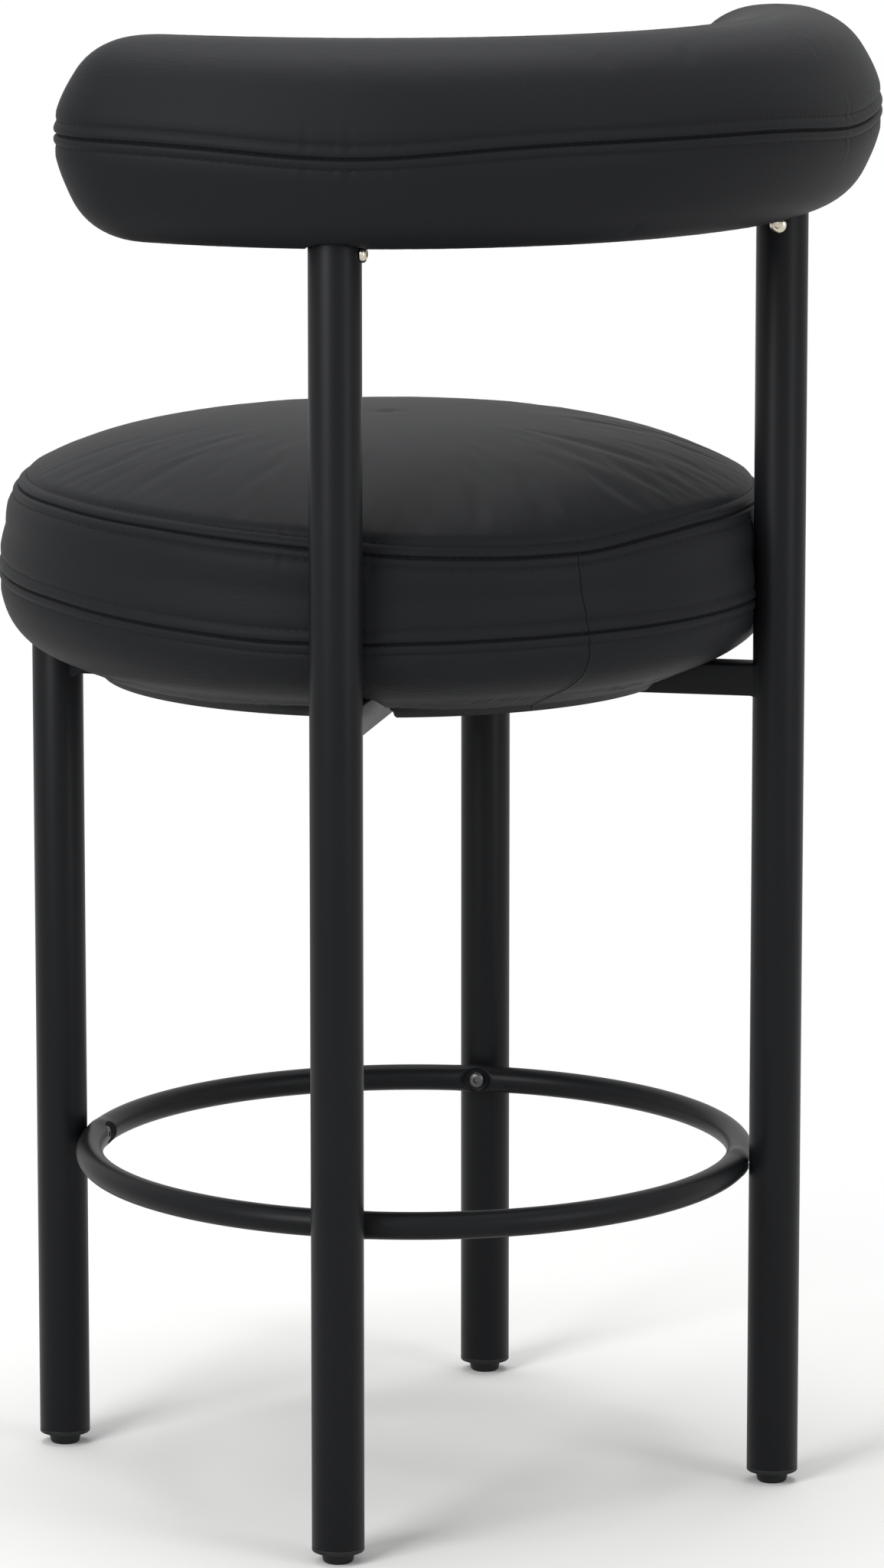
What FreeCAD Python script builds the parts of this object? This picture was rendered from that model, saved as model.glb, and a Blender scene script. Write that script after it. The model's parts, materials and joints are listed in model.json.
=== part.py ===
import FreeCAD, Part
import os
import Sketcher

# Counter stool with a round padded seat, a curved padded backrest and a footrest ring.
# Millimetres. +Z is up, the sitter faces -Y, and the origin is on the floor, at the centre of the leg square.

doc = FreeCAD.newDocument("CounterStool")

# ---------------------------------------------------------------- driving dimensions
DIMENSIONS = [
    ("leg_spacing", 325.0, "legs, centre to centre, across and front to back"),
    ("leg_diameter", 32.0, "outside of the leg tube"),
    ("leg_wall", 1.5, "wall of the leg tube"),
    ("post_height", 805.0, "top end of the rear legs above the floor"),
    ("slip_gap", 0.3, "clearance round a piece that is pushed into or over another"),
    ("thread_gap", 0.08, "radial clearance of a screw or stud in its thread or hole"),
    ("glide_height", 7.0, "levelling glide, floor to its top face"),
    ("glide_top_diameter", 21.0, "levelling glide at its top"),
    ("glide_foot_diameter", 18.0, "levelling glide at the floor"),
    ("glide_rounding", 1.5, "rounded lower edge of the glide"),
    ("stud_diameter", 8.0, "thread of the levelling glide"),
    ("stud_length", 24.0, "stud above the glide"),
    ("stud_head_diameter", 13.0, "stud head moulded into the glide"),
    ("stud_head_height", 3.0, "height of that head"),
    ("cap_lip", 3.0, "end cap lip below the tube"),
    ("cap_depth", 16.0, "end cap plug inside the tube"),
    ("nut_across", 13.0, "hex nut across its flats"),
    ("nut_height", 6.5, "hex nut height"),
    ("plug_depth", 12.0, "plug in the top of a front leg"),
    ("plug_cover", 2.0, "closing disc of that plug"),
    ("bar_size", 20.0, "square crossbar, outside"),
    ("bar_wall", 1.5, "wall of the crossbar"),
    ("bar_underside", 502.3, "underside of the crossbars above the floor"),
    ("ring_height", 204.0, "centre of the footrest tube above the floor"),
    ("ring_diameter", 17.0, "outside of the footrest tube"),
    ("ring_wall", 1.5, "wall of the footrest tube"),
    ("ring_pinch", 5.0, "depth of the pinched flat at each leg"),
    ("ring_flat_diameter", 13.0, "round flat that the screw head sits on"),
    ("ring_screw_diameter", 6.0, "thread of the footrest screw"),
    ("ring_screw_length", 24.0, "footrest screw under its head"),
    ("ring_head_diameter", 10.5, "button head of the footrest screw"),
    ("ring_head_height", 3.2, "height of that head"),
    ("rivet_diameter", 9.0, "barrel of the rivet nut"),
    ("rivet_bulge_diameter", 12.0, "crimped bulge of the rivet nut, inside the leg"),
    ("rivet_bulge_width", 2.5, "width of that bulge"),
    ("hex_socket", 4.0, "hex socket of the screws, across its flats"),
    ("hex_depth", 2.0, "depth of that socket"),
    ("seat_offset", 33.0, "seat centre in front of the leg square's centre"),
    ("seat_leg_gap", 0.7, "between the seat's side and a rear leg"),
    ("seat_top", 668.0, "crown of the seat above the floor"),
    ("seat_underside", 505.5, "lowest line of the padded rim"),
    ("seat_crown", 7.0, "rise of the crown over the rim"),
    ("seat_top_rounding", 68.0, "rounding of the upper rim"),
    ("seat_base_rounding", 46.0, "rounding of the lower rim"),
    ("seat_recess_radius", 165.0, "open middle of the underside, where the crossbars lie"),
    ("seat_seam_upper", 611.0, "seam between top panel and side band"),
    ("seat_seam_lower", 560.0, "seam between side band and base panel"),
    ("leather", 1.2, "thickness of the faux leather"),
    ("foam_gap", 0.3, "clearance between foam and leather"),
    ("board_radius", 205.0, "plywood seat board"),
    ("board_thickness", 12.0, "thickness of that board"),
    ("dust_cover", 0.8, "thickness of the dust cover"),
    ("seat_bolt_circle", 110.0, "seat screws, from the stool's centre line"),
    ("seat_screw_diameter", 6.0, "thread of the seat screws"),
    ("seat_screw_length", 31.0, "seat screw under its head"),
    ("seat_head_diameter", 10.5, "head of the seat screw"),
    ("seat_head_height", 3.2, "height of that head"),
    ("washer_diameter", 14.0, "washer under the seat screw"),
    ("washer_thickness", 1.2, "thickness of that washer"),
    ("tee_flange_diameter", 18.0, "flange of the tee nut"),
    ("tee_flange", 1.3, "thickness of that flange"),
    ("tee_barrel_diameter", 8.0, "barrel of the tee nut"),
    ("tee_barrel", 8.0, "length of that barrel"),
    ("back_arc_offset", 42.0, "centre of the backrest's arc in front of the leg square's centre"),
    ("back_arc_inset", 9.7, "middle of the backrest in front of the posts"),
    ("back_arc_angle", 128.0, "sweep of the backrest, without its round ends"),
    ("back_middle", 858.5, "middle of the backrest above the floor"),
    ("back_half_height", 64.5, "half of the backrest's height"),
    ("back_half_depth", 61.0, "half of the backrest's thickness"),
    ("back_rounding", 49.0, "rounding of the backrest's section"),
    ("back_seam", 858.0, "rear seam of the backrest above the floor"),
    ("rail_diameter", 25.0, "bent tube inside the backrest"),
    ("rail_wall", 1.5, "wall of that tube"),
    ("rail_middle", 853.0, "middle of that tube above the floor"),
    ("rail_angle", 112.0, "sweep of that tube"),
    ("stem_wall", 2.5, "wall of the stems that slide into the posts"),
    ("stem_insert", 40.0, "length of stem inside a post"),
    ("back_screw_height", 795.0, "backrest screws above the floor"),
    ("back_screw_diameter", 6.0, "thread of the backrest screw"),
    ("back_screw_length", 12.0, "backrest screw under its head"),
    ("back_head_diameter", 10.5, "pan head of the backrest screw"),
    ("back_head_height", 3.4, "height of that head"),
    ("head_face", 0.6, "flat face of a screw head, as a share of its width"),
    ("head_rim", 0.333, "straight rim of a screw head, as a share of its height"),
    ("overcut", 1.0, "how far a cutting shape runs past what it cuts"),
    ("panel_overcut", 10.0, "how far the shape that parts two panels runs past them"),
    ("post_room", 30.0, "open space in the backrest below a back screw's centre"),
    ("screw_way", 40.0, "open way from a back screw's head out of the backrest"),
    ("rail_end_room", 0.4, "room past both ends of the bent tube, in degrees"),
    ("rail_overrun", 4.0, "how far the shape that copes the stems outruns the tube, in degrees"),
]

# Sizes that keep the cushions against the rear legs, as the sheet's own formulas.
FOLLOWING = [
    ("seat_radius",
     "=sqrt((leg_spacing / 2)^2 + (leg_spacing / 2 + seat_offset)^2) - leg_diameter / 2 - seat_leg_gap",
     "widest radius of the seat"),
    ("back_arc_radius",
     "=sqrt((leg_spacing / 2)^2 + (leg_spacing / 2 + back_arc_offset)^2) - back_arc_inset",
     "arc through the middle of the backrest"),
]

sheet = doc.addObject("Spreadsheet::Sheet", "Dims")
for row, (alias, value, meaning) in enumerate(DIMENSIONS + FOLLOWING, start=1):
    sheet.set(f"A{row}", alias)
    sheet.set(f"B{row}", str(value))
    sheet.setAlias(f"B{row}", alias)
    sheet.set(f"C{row}", meaning)
doc.recompute()

# Sizes that follow from the driving ones, as expressions.
HALF_SPACING = "Dims.leg_spacing / 2"
LEG_CIRCLE = "(Dims.leg_spacing * sqrt(2) / 2)"
LEG_RADIUS = "(Dims.leg_diameter / 2)"
LEG_BORE = "(Dims.leg_diameter - 2 * Dims.leg_wall)"
TUBE_START = "(Dims.glide_height + Dims.slip_gap + Dims.cap_lip)"
BAR_TOP = "(Dims.bar_underside + Dims.bar_size)"
BOARD_UNDERSIDE = f"({BAR_TOP} + Dims.dust_cover)"
BOARD_TOP = f"({BOARD_UNDERSIDE} + Dims.board_thickness)"
RING_RADIUS = f"({LEG_CIRCLE} - {LEG_RADIUS} - Dims.ring_diameter / 2)"
RING_FLAT = f"({RING_RADIUS} - Dims.ring_diameter / 2 + Dims.ring_pinch)"
POST_ARC = f"sqrt(({HALF_SPACING})^2 + ({HALF_SPACING} + Dims.back_arc_offset)^2)"
STEM_DIAMETER = f"({LEG_BORE} - 2 * Dims.slip_gap)"

CORNERS = {
    "front_left": (1, -1),
    "front_right": (-1, -1),
    "rear_right": (-1, 1),
    "rear_left": (1, 1),
}
# A leg's own frame has +X pointing at the stool's centre line.
INWARD_ANGLE = {"front_left": 135, "front_right": 45, "rear_right": -45, "rear_left": -135}
# Which way the backrest screw faces, along the leg's own Y.
SCREW_SIDE = {"rear_right": 1, "rear_left": -1}

VERTICAL_AXIS = -2
HORIZONTAL_AXIS = -1
nodes = []


def size(expression):
    """The value of an expression, for a sketch's first geometry."""
    return float(sheet.evalExpression(expression))


def part_node(item, label):
    """Marks an object as a piece of the stool, under its own name."""
    item.Label = label
    nodes.append(item)
    return item


def new_body(name, several=False):
    """A PartDesign body, which may hold several solids."""
    body = doc.addObject("PartDesign::Body", name)
    body.AllowCompound = several
    return body


def origin_feature(body, role):
    """One of a body's own axes or planes."""
    return next(item for item in body.Origin.OriginFeatures if item.Role == role)


def new_sketch(body, role):
    """A sketch on one of a body's own planes."""
    sketch = body.newObject("Sketcher::SketchObject", body.Name + "_sketch")
    sketch.AttachmentSupport = (origin_feature(body, role), [""])
    sketch.MapMode = "FlatFace"
    return sketch


def bind(sketch, constraint, expression):
    """Adds a constraint whose value follows an expression."""
    number = sketch.addConstraint(constraint)
    sketch.setExpression(f"Constraints[{number}]", expression)


def pin_point(sketch, geometry, point, across, up):
    """Ties one point to the sketch's origin, by expressions."""
    if across == "0":
        sketch.addConstraint(Sketcher.Constraint("PointOnObject", geometry, point, VERTICAL_AXIS))
    else:
        bind(sketch, Sketcher.Constraint("DistanceX", -1, 1, geometry, point, size(across)), across)
    if up == "0":
        sketch.addConstraint(Sketcher.Constraint("PointOnObject", geometry, point, HORIZONTAL_AXIS))
    else:
        bind(sketch, Sketcher.Constraint("DistanceY", -1, 1, geometry, point, size(up)), up)


def circle(sketch, across, up, diameter):
    """A full circle in a sketch."""
    centre = FreeCAD.Vector(size(across), size(up), 0)
    shape = Part.Circle(centre, FreeCAD.Vector(0, 0, 1), size(diameter) / 2)
    number = sketch.addGeometry(shape, False)
    bind(sketch, Sketcher.Constraint("Diameter", number, size(diameter)), diameter)
    if across == "0" and up == "0":
        sketch.addConstraint(Sketcher.Constraint("Coincident", number, 3, -1, 1))
    else:
        pin_point(sketch, number, 3, across, up)


def outline(sketch, corners):
    """Closed outline, anticlockwise, of (across, up) corners, with a radius too where a convex arc starts."""
    first = len(sketch.Geometry)
    places = [FreeCAD.Vector(size(corner[0]), size(corner[1]), 0) for corner in corners]
    for index, corner in enumerate(corners):
        start = places[index]
        end = places[(index + 1) % len(corners)]
        if len(corner) == 2:
            sketch.addGeometry(Part.LineSegment(start, end), False)
            continue
        radius = size(corner[2])
        chord = end - start
        rise = max(radius ** 2 - (chord.Length / 2) ** 2, 0) ** 0.5
        inward = FreeCAD.Vector(-chord.y, chord.x, 0).normalize()
        centre = start + chord * 0.5 + inward * rise
        middle = centre - inward * radius
        sketch.addGeometry(Part.Arc(start, middle, end), False)
    for index, corner in enumerate(corners):
        following = (index + 1) % len(corners)
        sketch.addConstraint(Sketcher.Constraint("Coincident", first + index, 2, first + following, 1))
        pin_point(sketch, first + index, 1, corner[0], corner[1])
        if len(corner) == 3:
            bind(sketch, Sketcher.Constraint("Radius", first + index, size(corner[2])), corner[2])


def hexagon(sketch, across, flats):
    """Hexagon on the sketch's level axis, by its width across the flats."""
    point = f"({flats}) / sqrt(3)"
    half = f"({flats}) / 2"
    outline(sketch, [
        (f"{across} + {point}", "0"),
        (f"{across} + {point} / 2", half),
        (f"{across} - {point} / 2", half),
        (f"{across} - {point}", "0"),
        (f"{across} - {point} / 2", "-" + half),
        (f"{across} + {point} / 2", "-" + half),
    ])


def pad(body, sketch, length):
    """Extrudes a sketch."""
    feature = body.newObject("PartDesign::Pad", body.Name + "_pad")
    feature.Profile = sketch
    feature.setExpression("Length", length)
    doc.recompute()
    return feature


def cut_through(body, sketch, side="Symmetric", length=None):
    """Cuts a sketch through the body, both ways, or one way for a length along the sketch's normal."""
    feature = body.newObject("PartDesign::Pocket", body.Name + "_pocket")
    feature.Profile = sketch
    if length is None:
        feature.SideType = side
        feature.Type = "ThroughAll"
    else:
        feature.Type = "Length"
        feature.setExpression("Length", length)
        feature.Reversed = True
    before = body.Shape.Volume
    doc.recompute()
    if not body.Shape.Volume < before:
        raise ValueError(f"{body.Name}: a pocket cut nothing")
    return feature


def turn(body, sketch, axis="V_Axis", angle="360"):
    """Turns a sketch about one of its axes, anticlockwise from its plane."""
    feature = body.newObject("PartDesign::Revolution", body.Name + "_turn")
    feature.Profile = sketch
    feature.ReferenceAxis = (sketch, [axis])
    feature.setExpression("Angle", angle)
    doc.recompute()
    return feature


def place(item, across="0", along="0", up="0", angle="0"):
    """Binds an object's place, and its turn about Z."""
    for axis, expression in (("x", across), ("y", along), ("z", up)):
        if expression != "0":
            item.setExpression(f".Placement.Base.{axis}", expression)
    if angle != "0":
        item.setExpression(".Placement.Rotation.Angle", f"({angle}) * 1 deg")


def place_at_leg(item, corner, up="0"):
    """Places an object on a leg's axis, its own +X towards the stool's centre line."""
    side, end = CORNERS[corner]
    place(item, f"{side} * {HALF_SPACING}", f"{end} * {HALF_SPACING}", up, str(INWARD_ANGLE[corner]))


def turned(name, corners, several=False):
    """A piece turned about its own upright axis, from its outline in radius and height."""
    body = new_body(name, several)
    sketch = new_sketch(body, "XZ_Plane")
    outline(sketch, corners)
    turn(body, sketch)
    return body


def repeat_four(body):
    """Repeats the body's last feature at each leg's direction."""
    pattern = body.newObject("PartDesign::PolarPattern", body.Name + "_four")
    pattern.Originals = [body.Tip]
    pattern.Axis = (origin_feature(body, "Z_Axis"), [""])
    pattern.Angle = 360
    pattern.Occurrences = 4
    body.Tip = pattern
    doc.recompute()


def radial_four(name, corners, up):
    """Four like pieces, one towards each leg, turned about a level axis: outline in reach and radius."""
    body = new_body(name, several=True)
    sketch = new_sketch(body, "XY_Plane")
    outline(sketch, corners)
    turn(body, sketch, "H_Axis")
    repeat_four(body)
    place(body, up=up, angle="45")
    return body


def upright_four(name, reach, corners):
    """Four like upright pieces, one on each crossbar at that reach: outline in radius and height."""
    body = new_body(name, several=True)
    sketch = new_sketch(body, "XZ_Plane")
    shifted = [(f"{reach} + {corner[0]}",) + corner[1:] for corner in corners]
    outline(sketch, shifted)
    low, high = corners[0][1], corners[-1][1]
    start = FreeCAD.Vector(size(reach), size(low), 0)
    finish = FreeCAD.Vector(size(reach), size(high), 0)
    number = sketch.addGeometry(Part.LineSegment(start, finish), True)
    pin_point(sketch, number, 1, reach, low)
    pin_point(sketch, number, 2, reach, high)
    turn(body, sketch, "Axis0")
    repeat_four(body)
    place(body, angle="45")
    return body


def combine(kind, name, **links):
    """A Part operation on other objects."""
    item = doc.addObject(kind, name)
    for key, value in links.items():
        setattr(item, key, value)
    doc.recompute()
    return item


def cut(name, base, tool):
    return combine("Part::Cut", name, Base=base, Tool=tool)


def common(name, base, tool):
    return combine("Part::Common", name, Base=base, Tool=tool)


def fuse(name, items):
    return combine("Part::MultiFuse", name, Shapes=items)


def post_rod(name, corner, radius, bottom, top):
    """An upright round rod on a leg's axis."""
    rod = doc.addObject("Part::Cylinder", name)
    rod.setExpression("Radius", radius)
    rod.setExpression("Height", f"{top} - {bottom}")
    place_at_leg(rod, corner, bottom)
    return rod


# ---------------------------------------------------------------- legs
def leg(corner, top):
    """Leg tube, with the hole for the footrest's rivet nut, and for the backrest's screw on a rear leg."""
    body = new_body("leg_" + corner)
    section = new_sketch(body, "XY_Plane")
    circle(section, "0", "0", "Dims.leg_diameter")
    circle(section, "0", "0", LEG_BORE)
    pad(body, section, f"{top} - {TUBE_START}")
    rivet_hole = new_sketch(body, "YZ_Plane")
    circle(rivet_hole, "0", f"Dims.ring_height - {TUBE_START}", "Dims.rivet_diameter + 2 * Dims.thread_gap")
    cut_through(body, rivet_hole, length=LEG_RADIUS + " + Dims.overcut")
    if corner in SCREW_SIDE:
        screw_hole = new_sketch(body, "XZ_Plane")
        circle(screw_hole, "0", f"Dims.back_screw_height - {TUBE_START}",
               "Dims.back_screw_diameter + 2 * Dims.thread_gap")
        one_way = cut_through(body, screw_hole, length=LEG_RADIUS + " + Dims.overcut")
        one_way.Reversed = SCREW_SIDE[corner] < 0
    place_at_leg(body, corner, TUBE_START)
    return part_node(body, "leg_" + corner)


# ---------------------------------------------------------------- feet
def end_cap(corner):
    """Plastic cap: a lip under the tube, a plug inside it, a stud hole and a pocket that holds the nut."""
    plug_radius = f"{LEG_BORE} / 2 - Dims.slip_gap"
    hole_radius = "Dims.stud_diameter / 2 + Dims.slip_gap"
    body = turned("end_cap_" + corner, [
        (hole_radius, "0"),
        (LEG_RADIUS, "0"),
        (LEG_RADIUS, "Dims.cap_lip"),
        (plug_radius, "Dims.cap_lip"),
        (plug_radius, "Dims.cap_lip + Dims.cap_depth"),
        (hole_radius, "Dims.cap_lip + Dims.cap_depth"),
    ])
    pocket = new_sketch(body, "XY_Plane")
    pocket.setExpression(".AttachmentOffset.Base.z", "Dims.cap_lip + Dims.cap_depth - Dims.nut_height")
    circle(pocket, "0", "0", "Dims.nut_across * 2 / sqrt(3) + 2 * Dims.slip_gap")
    cut_through(body, pocket, length="Dims.nut_height + Dims.overcut")
    place_at_leg(body, corner, "Dims.glide_height + Dims.slip_gap")
    return part_node(body, "end_cap_" + corner)


def glide(corner):
    """Levelling glide: a tapered plastic foot moulded round the head of its stud."""
    foot = "Dims.glide_foot_diameter / 2"
    head = "Dims.stud_head_diameter / 2"
    body = turned("glide_" + corner, [
        ("0", "0"),
        (foot + " - Dims.glide_rounding", "0", "Dims.glide_rounding"),
        (foot, "Dims.glide_rounding"),
        ("Dims.glide_top_diameter / 2", "Dims.glide_height"),
        ("Dims.stud_diameter / 2", "Dims.glide_height"),
        ("Dims.stud_diameter / 2", "Dims.glide_height - Dims.glide_rounding"),
        (head, "Dims.glide_height - Dims.glide_rounding"),
        (head, "Dims.glide_height - Dims.glide_rounding - Dims.stud_head_height"),
        ("0", "Dims.glide_height - Dims.glide_rounding - Dims.stud_head_height"),
    ])
    place_at_leg(body, corner)
    return part_node(body, "glide_" + corner)


def glide_stud(corner):
    """Steel stud of a glide, with the round head that the plastic holds."""
    head_top = "Dims.glide_height - Dims.glide_rounding"
    body = turned("glide_stud_" + corner, [
        ("0", head_top + " - Dims.stud_head_height"),
        ("Dims.stud_head_diameter / 2", head_top + " - Dims.stud_head_height"),
        ("Dims.stud_head_diameter / 2", head_top),
        ("Dims.stud_diameter / 2", head_top),
        ("Dims.stud_diameter / 2", "Dims.glide_height + Dims.stud_length"),
        ("0", "Dims.glide_height + Dims.stud_length"),
    ])
    place_at_leg(body, corner)
    return part_node(body, "glide_stud_" + corner)


def end_cap_nuts():
    """Four hex nuts, one in each end cap."""
    body = new_body("end_cap_nuts", several=True)
    section = new_sketch(body, "XY_Plane")
    hexagon(section, LEG_CIRCLE, "Dims.nut_across")
    circle(section, LEG_CIRCLE, "0", "Dims.stud_diameter + 2 * Dims.thread_gap")
    pad(body, section, "Dims.nut_height")
    repeat_four(body)
    place(body, up=f"{TUBE_START} + Dims.cap_depth - Dims.nut_height", angle="45")
    return part_node(body, "end_cap_nuts")


# ---------------------------------------------------------------- under the seat
def leg_plug(corner):
    """Plug that closes the top of a short front leg."""
    barrel = f"{LEG_BORE} / 2 - Dims.slip_gap"
    body = turned("leg_plug_" + corner, [
        ("0", "0"),
        (barrel, "0"),
        (barrel, "Dims.plug_depth"),
        (LEG_RADIUS, "Dims.plug_depth"),
        (LEG_RADIUS, "Dims.plug_depth + Dims.plug_cover"),
        ("0", "Dims.plug_depth + Dims.plug_cover"),
    ])
    place_at_leg(body, corner, f"{BAR_TOP} - Dims.plug_depth - Dims.plug_cover")
    return part_node(body, "leg_plug_" + corner)


def crossbar(name, start, mirrored, angle):
    """Square tube from start to a leg, or from leg to leg, coped round the legs, bored for the seat screws."""
    body = new_body(name)
    half = "Dims.bar_size / 2"
    bore = "(Dims.bar_size / 2 - Dims.bar_wall)"
    section = new_sketch(body, "YZ_Plane")
    for side in (half, bore):
        outline(section, [(f"-{side}", f"-{side}"), (side, f"-{side}"), (side, side), (f"-{side}", side)])
    if mirrored:
        bar = pad(body, section, "2 * " + LEG_CIRCLE)
        bar.SideType = "Symmetric"
    else:
        section.setExpression(".AttachmentOffset.Base.z", start)
        pad(body, section, f"{LEG_CIRCLE} - {start}")
    doc.recompute()
    ends = (1, -1) if mirrored else (1,)
    for end in ends:
        cope = new_sketch(body, "XY_Plane")
        circle(cope, f"{end} * {LEG_CIRCLE}", "0", "Dims.leg_diameter")
        cut_through(body, cope)
        screw_hole = new_sketch(body, "XY_Plane")
        circle(screw_hole, f"{end} * Dims.seat_bolt_circle", "0",
               "Dims.seat_screw_diameter + 2 * Dims.slip_gap")
        cut_through(body, screw_hole)
    place(body, up=f"Dims.bar_underside + {half}", angle=str(angle))
    return part_node(body, name)


# ---------------------------------------------------------------- footrest
def footrest_ring():
    """Bent tube closed to a ring, pinched flat inside each leg, with a screw hole through each flat."""
    tube = doc.addObject("Part::Torus", "ring_tube")
    hollow = doc.addObject("Part::Torus", "ring_hollow")
    for torus, reduction in ((tube, "0"), (hollow, "Dims.ring_wall")):
        torus.setExpression("Radius1", RING_RADIUS)
        torus.setExpression("Radius2", f"Dims.ring_diameter / 2 - {reduction}")
        place(torus, up="Dims.ring_height")
    outside = RING_RADIUS + " + Dims.ring_diameter"
    inside = RING_RADIUS + " - Dims.ring_diameter"
    plug_radius = "(Dims.ring_flat_diameter / 2 + Dims.ring_wall)"
    plugs = radial_four("ring_plugs", [
        (inside, "0"), (outside, "0"), (outside, plug_radius), (inside, plug_radius)], "Dims.ring_height")
    flats = radial_four("ring_flats", [
        (inside, "0"), (RING_FLAT, "0"), (RING_FLAT, "Dims.ring_flat_diameter / 2"),
        (inside, "Dims.ring_flat_diameter / 2")], "Dims.ring_height")
    hole_radius = "(Dims.ring_screw_diameter / 2 + Dims.slip_gap)"
    holes = radial_four("ring_holes", [
        (inside, "0"), (outside, "0"), (outside, hole_radius), (inside, hole_radius)], "Dims.ring_height")
    shell = cut("ring_shell", tube, hollow)
    pinched = common("ring_pinched", tube, plugs)
    whole = fuse("ring_whole", [shell, pinched])
    cutters = fuse("ring_cutters", [flats, holes])
    return part_node(cut("footrest_ring", whole, cutters), "footrest_ring")


def footrest_screws():
    """Four button-head screws, driven outwards through the ring into the legs."""
    head = "Dims.ring_head_diameter / 2"
    shank = "Dims.ring_screw_diameter / 2"
    socket = "Dims.hex_socket / 2"
    face = f"{RING_FLAT} - Dims.ring_head_height"
    body = radial_four("footrest_screws", [
        (f"{face} + Dims.hex_depth", "0"),
        (f"{RING_FLAT} + Dims.ring_screw_length", "0"),
        (f"{RING_FLAT} + Dims.ring_screw_length", shank),
        (RING_FLAT, shank),
        (RING_FLAT, head),
        (f"{RING_FLAT} - Dims.ring_head_height * Dims.head_rim", head),
        (face, head + " * Dims.head_face"),
        (face, socket),
        (f"{face} + Dims.hex_depth", socket),
    ], "Dims.ring_height")
    return part_node(body, "footrest_screws")


def footrest_rivet_nuts():
    """Four blind rivet nuts, crimped behind the leg wall."""
    bore = "Dims.ring_screw_diameter / 2 + Dims.thread_gap"
    barrel = "Dims.rivet_diameter / 2"
    bulge = "Dims.rivet_bulge_diameter / 2"
    wall = f"({LEG_CIRCLE} - {LEG_RADIUS})"
    bulge_start = f"({LEG_CIRCLE} - sqrt(({LEG_BORE} / 2)^2 - ({bulge})^2) + Dims.slip_gap)"
    barrel_end = f"{bulge_start} + 3 * Dims.rivet_bulge_width"
    body = radial_four("footrest_rivet_nuts", [
        (wall + " + Dims.slip_gap", bore),
        (barrel_end, bore),
        (barrel_end, barrel),
        (bulge_start + " + Dims.rivet_bulge_width", barrel),
        (bulge_start + " + Dims.rivet_bulge_width", bulge),
        (bulge_start, bulge),
        (bulge_start, barrel),
        (wall + " + Dims.slip_gap", barrel),
    ], "Dims.ring_height")
    return part_node(body, "footrest_rivet_nuts")


# ---------------------------------------------------------------- seat
def seat_form(name, inset):
    """The padded seat's outer form, or the space inside it: inset is how far its surface lies inside."""
    radius = f"(Dims.seat_radius - {inset})"
    crown = f"(Dims.seat_top - {inset})"
    rim = f"({crown} - Dims.seat_crown)"
    base = f"(Dims.seat_underside + {inset})"
    recess = f"(Dims.seat_recess_radius + {inset})"
    upper = f"(Dims.seat_top_rounding - {inset})"
    lower = f"(Dims.seat_base_rounding - {inset})"
    flat = f"({radius} - {upper})"
    dome = f"(({flat}^2 + Dims.seat_crown^2) / (2 * Dims.seat_crown))"
    form = turned(name, [
        ("0", BOARD_UNDERSIDE),
        (recess, BOARD_UNDERSIDE),
        (recess, base),
        (f"{radius} - {lower}", base, lower),
        (radius, f"{base} + {lower}"),
        (radius, f"{rim} - {upper}", upper),
        (flat, rim, dome),
        ("0", crown),
    ])
    place(form, along="-Dims.seat_offset")
    return form


def disc(name, radius, bottom, top):
    """A solid disc on the seat's axis."""
    item = doc.addObject("Part::Cylinder", name)
    item.setExpression("Radius", radius)
    item.setExpression("Height", f"({top}) - ({bottom})")
    place(item, along="-Dims.seat_offset", up=bottom)
    doc.recompute()
    return item


def frame_clearance():
    """The crossbars and front leg tops, with a little room round them: the padded rim is pressed over these."""
    pieces = []
    wide = "(Dims.bar_size + 2 * Dims.slip_gap)"
    for index, angle in enumerate((45, 135)):
        bar = new_body(f"bar_room_{index}")
        section = new_sketch(bar, "YZ_Plane")
        outline(section, [
            (f"-{wide} / 2", "Dims.bar_underside - Dims.bar_size"),
            (f"{wide} / 2", "Dims.bar_underside - Dims.bar_size"),
            (f"{wide} / 2", BAR_TOP + " + Dims.slip_gap"),
            (f"-{wide} / 2", BAR_TOP + " + Dims.slip_gap"),
        ])
        pad(bar, section, "2 * " + LEG_CIRCLE).SideType = "Symmetric"
        place(bar, angle=str(angle))
        pieces.append(bar)
    for corner in ("front_left", "front_right"):
        pieces.append(post_rod("leg_room_" + corner, corner, LEG_RADIUS + " + Dims.slip_gap",
                               "(Dims.bar_underside - Dims.bar_size)", f"({BAR_TOP} + Dims.slip_gap)"))
    doc.recompute()
    return fuse("seat_frame_room", pieces)


def seat_board():
    """Plywood disc with counterbored holes for the tee nuts."""
    blank = disc("seat_board_blank", "Dims.board_radius", BOARD_UNDERSIDE, BOARD_TOP)
    barrel = "Dims.tee_barrel_diameter / 2 + Dims.thread_gap"
    flange = "(Dims.tee_flange_diameter / 2 + Dims.slip_gap)"
    seat = f"{BOARD_TOP} - Dims.tee_flange - Dims.foam_gap"
    bores = upright_four("seat_board_bores", "Dims.seat_bolt_circle", [
        ("0", BOARD_UNDERSIDE + " - Dims.overcut"),
        (barrel, BOARD_UNDERSIDE + " - Dims.overcut"),
        (barrel, seat),
        (flange, seat),
        (flange, BOARD_TOP + " + Dims.overcut"),
        ("0", BOARD_TOP + " + Dims.overcut"),
    ])
    return part_node(cut("seat_board", blank, bores), "seat_board")


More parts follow.
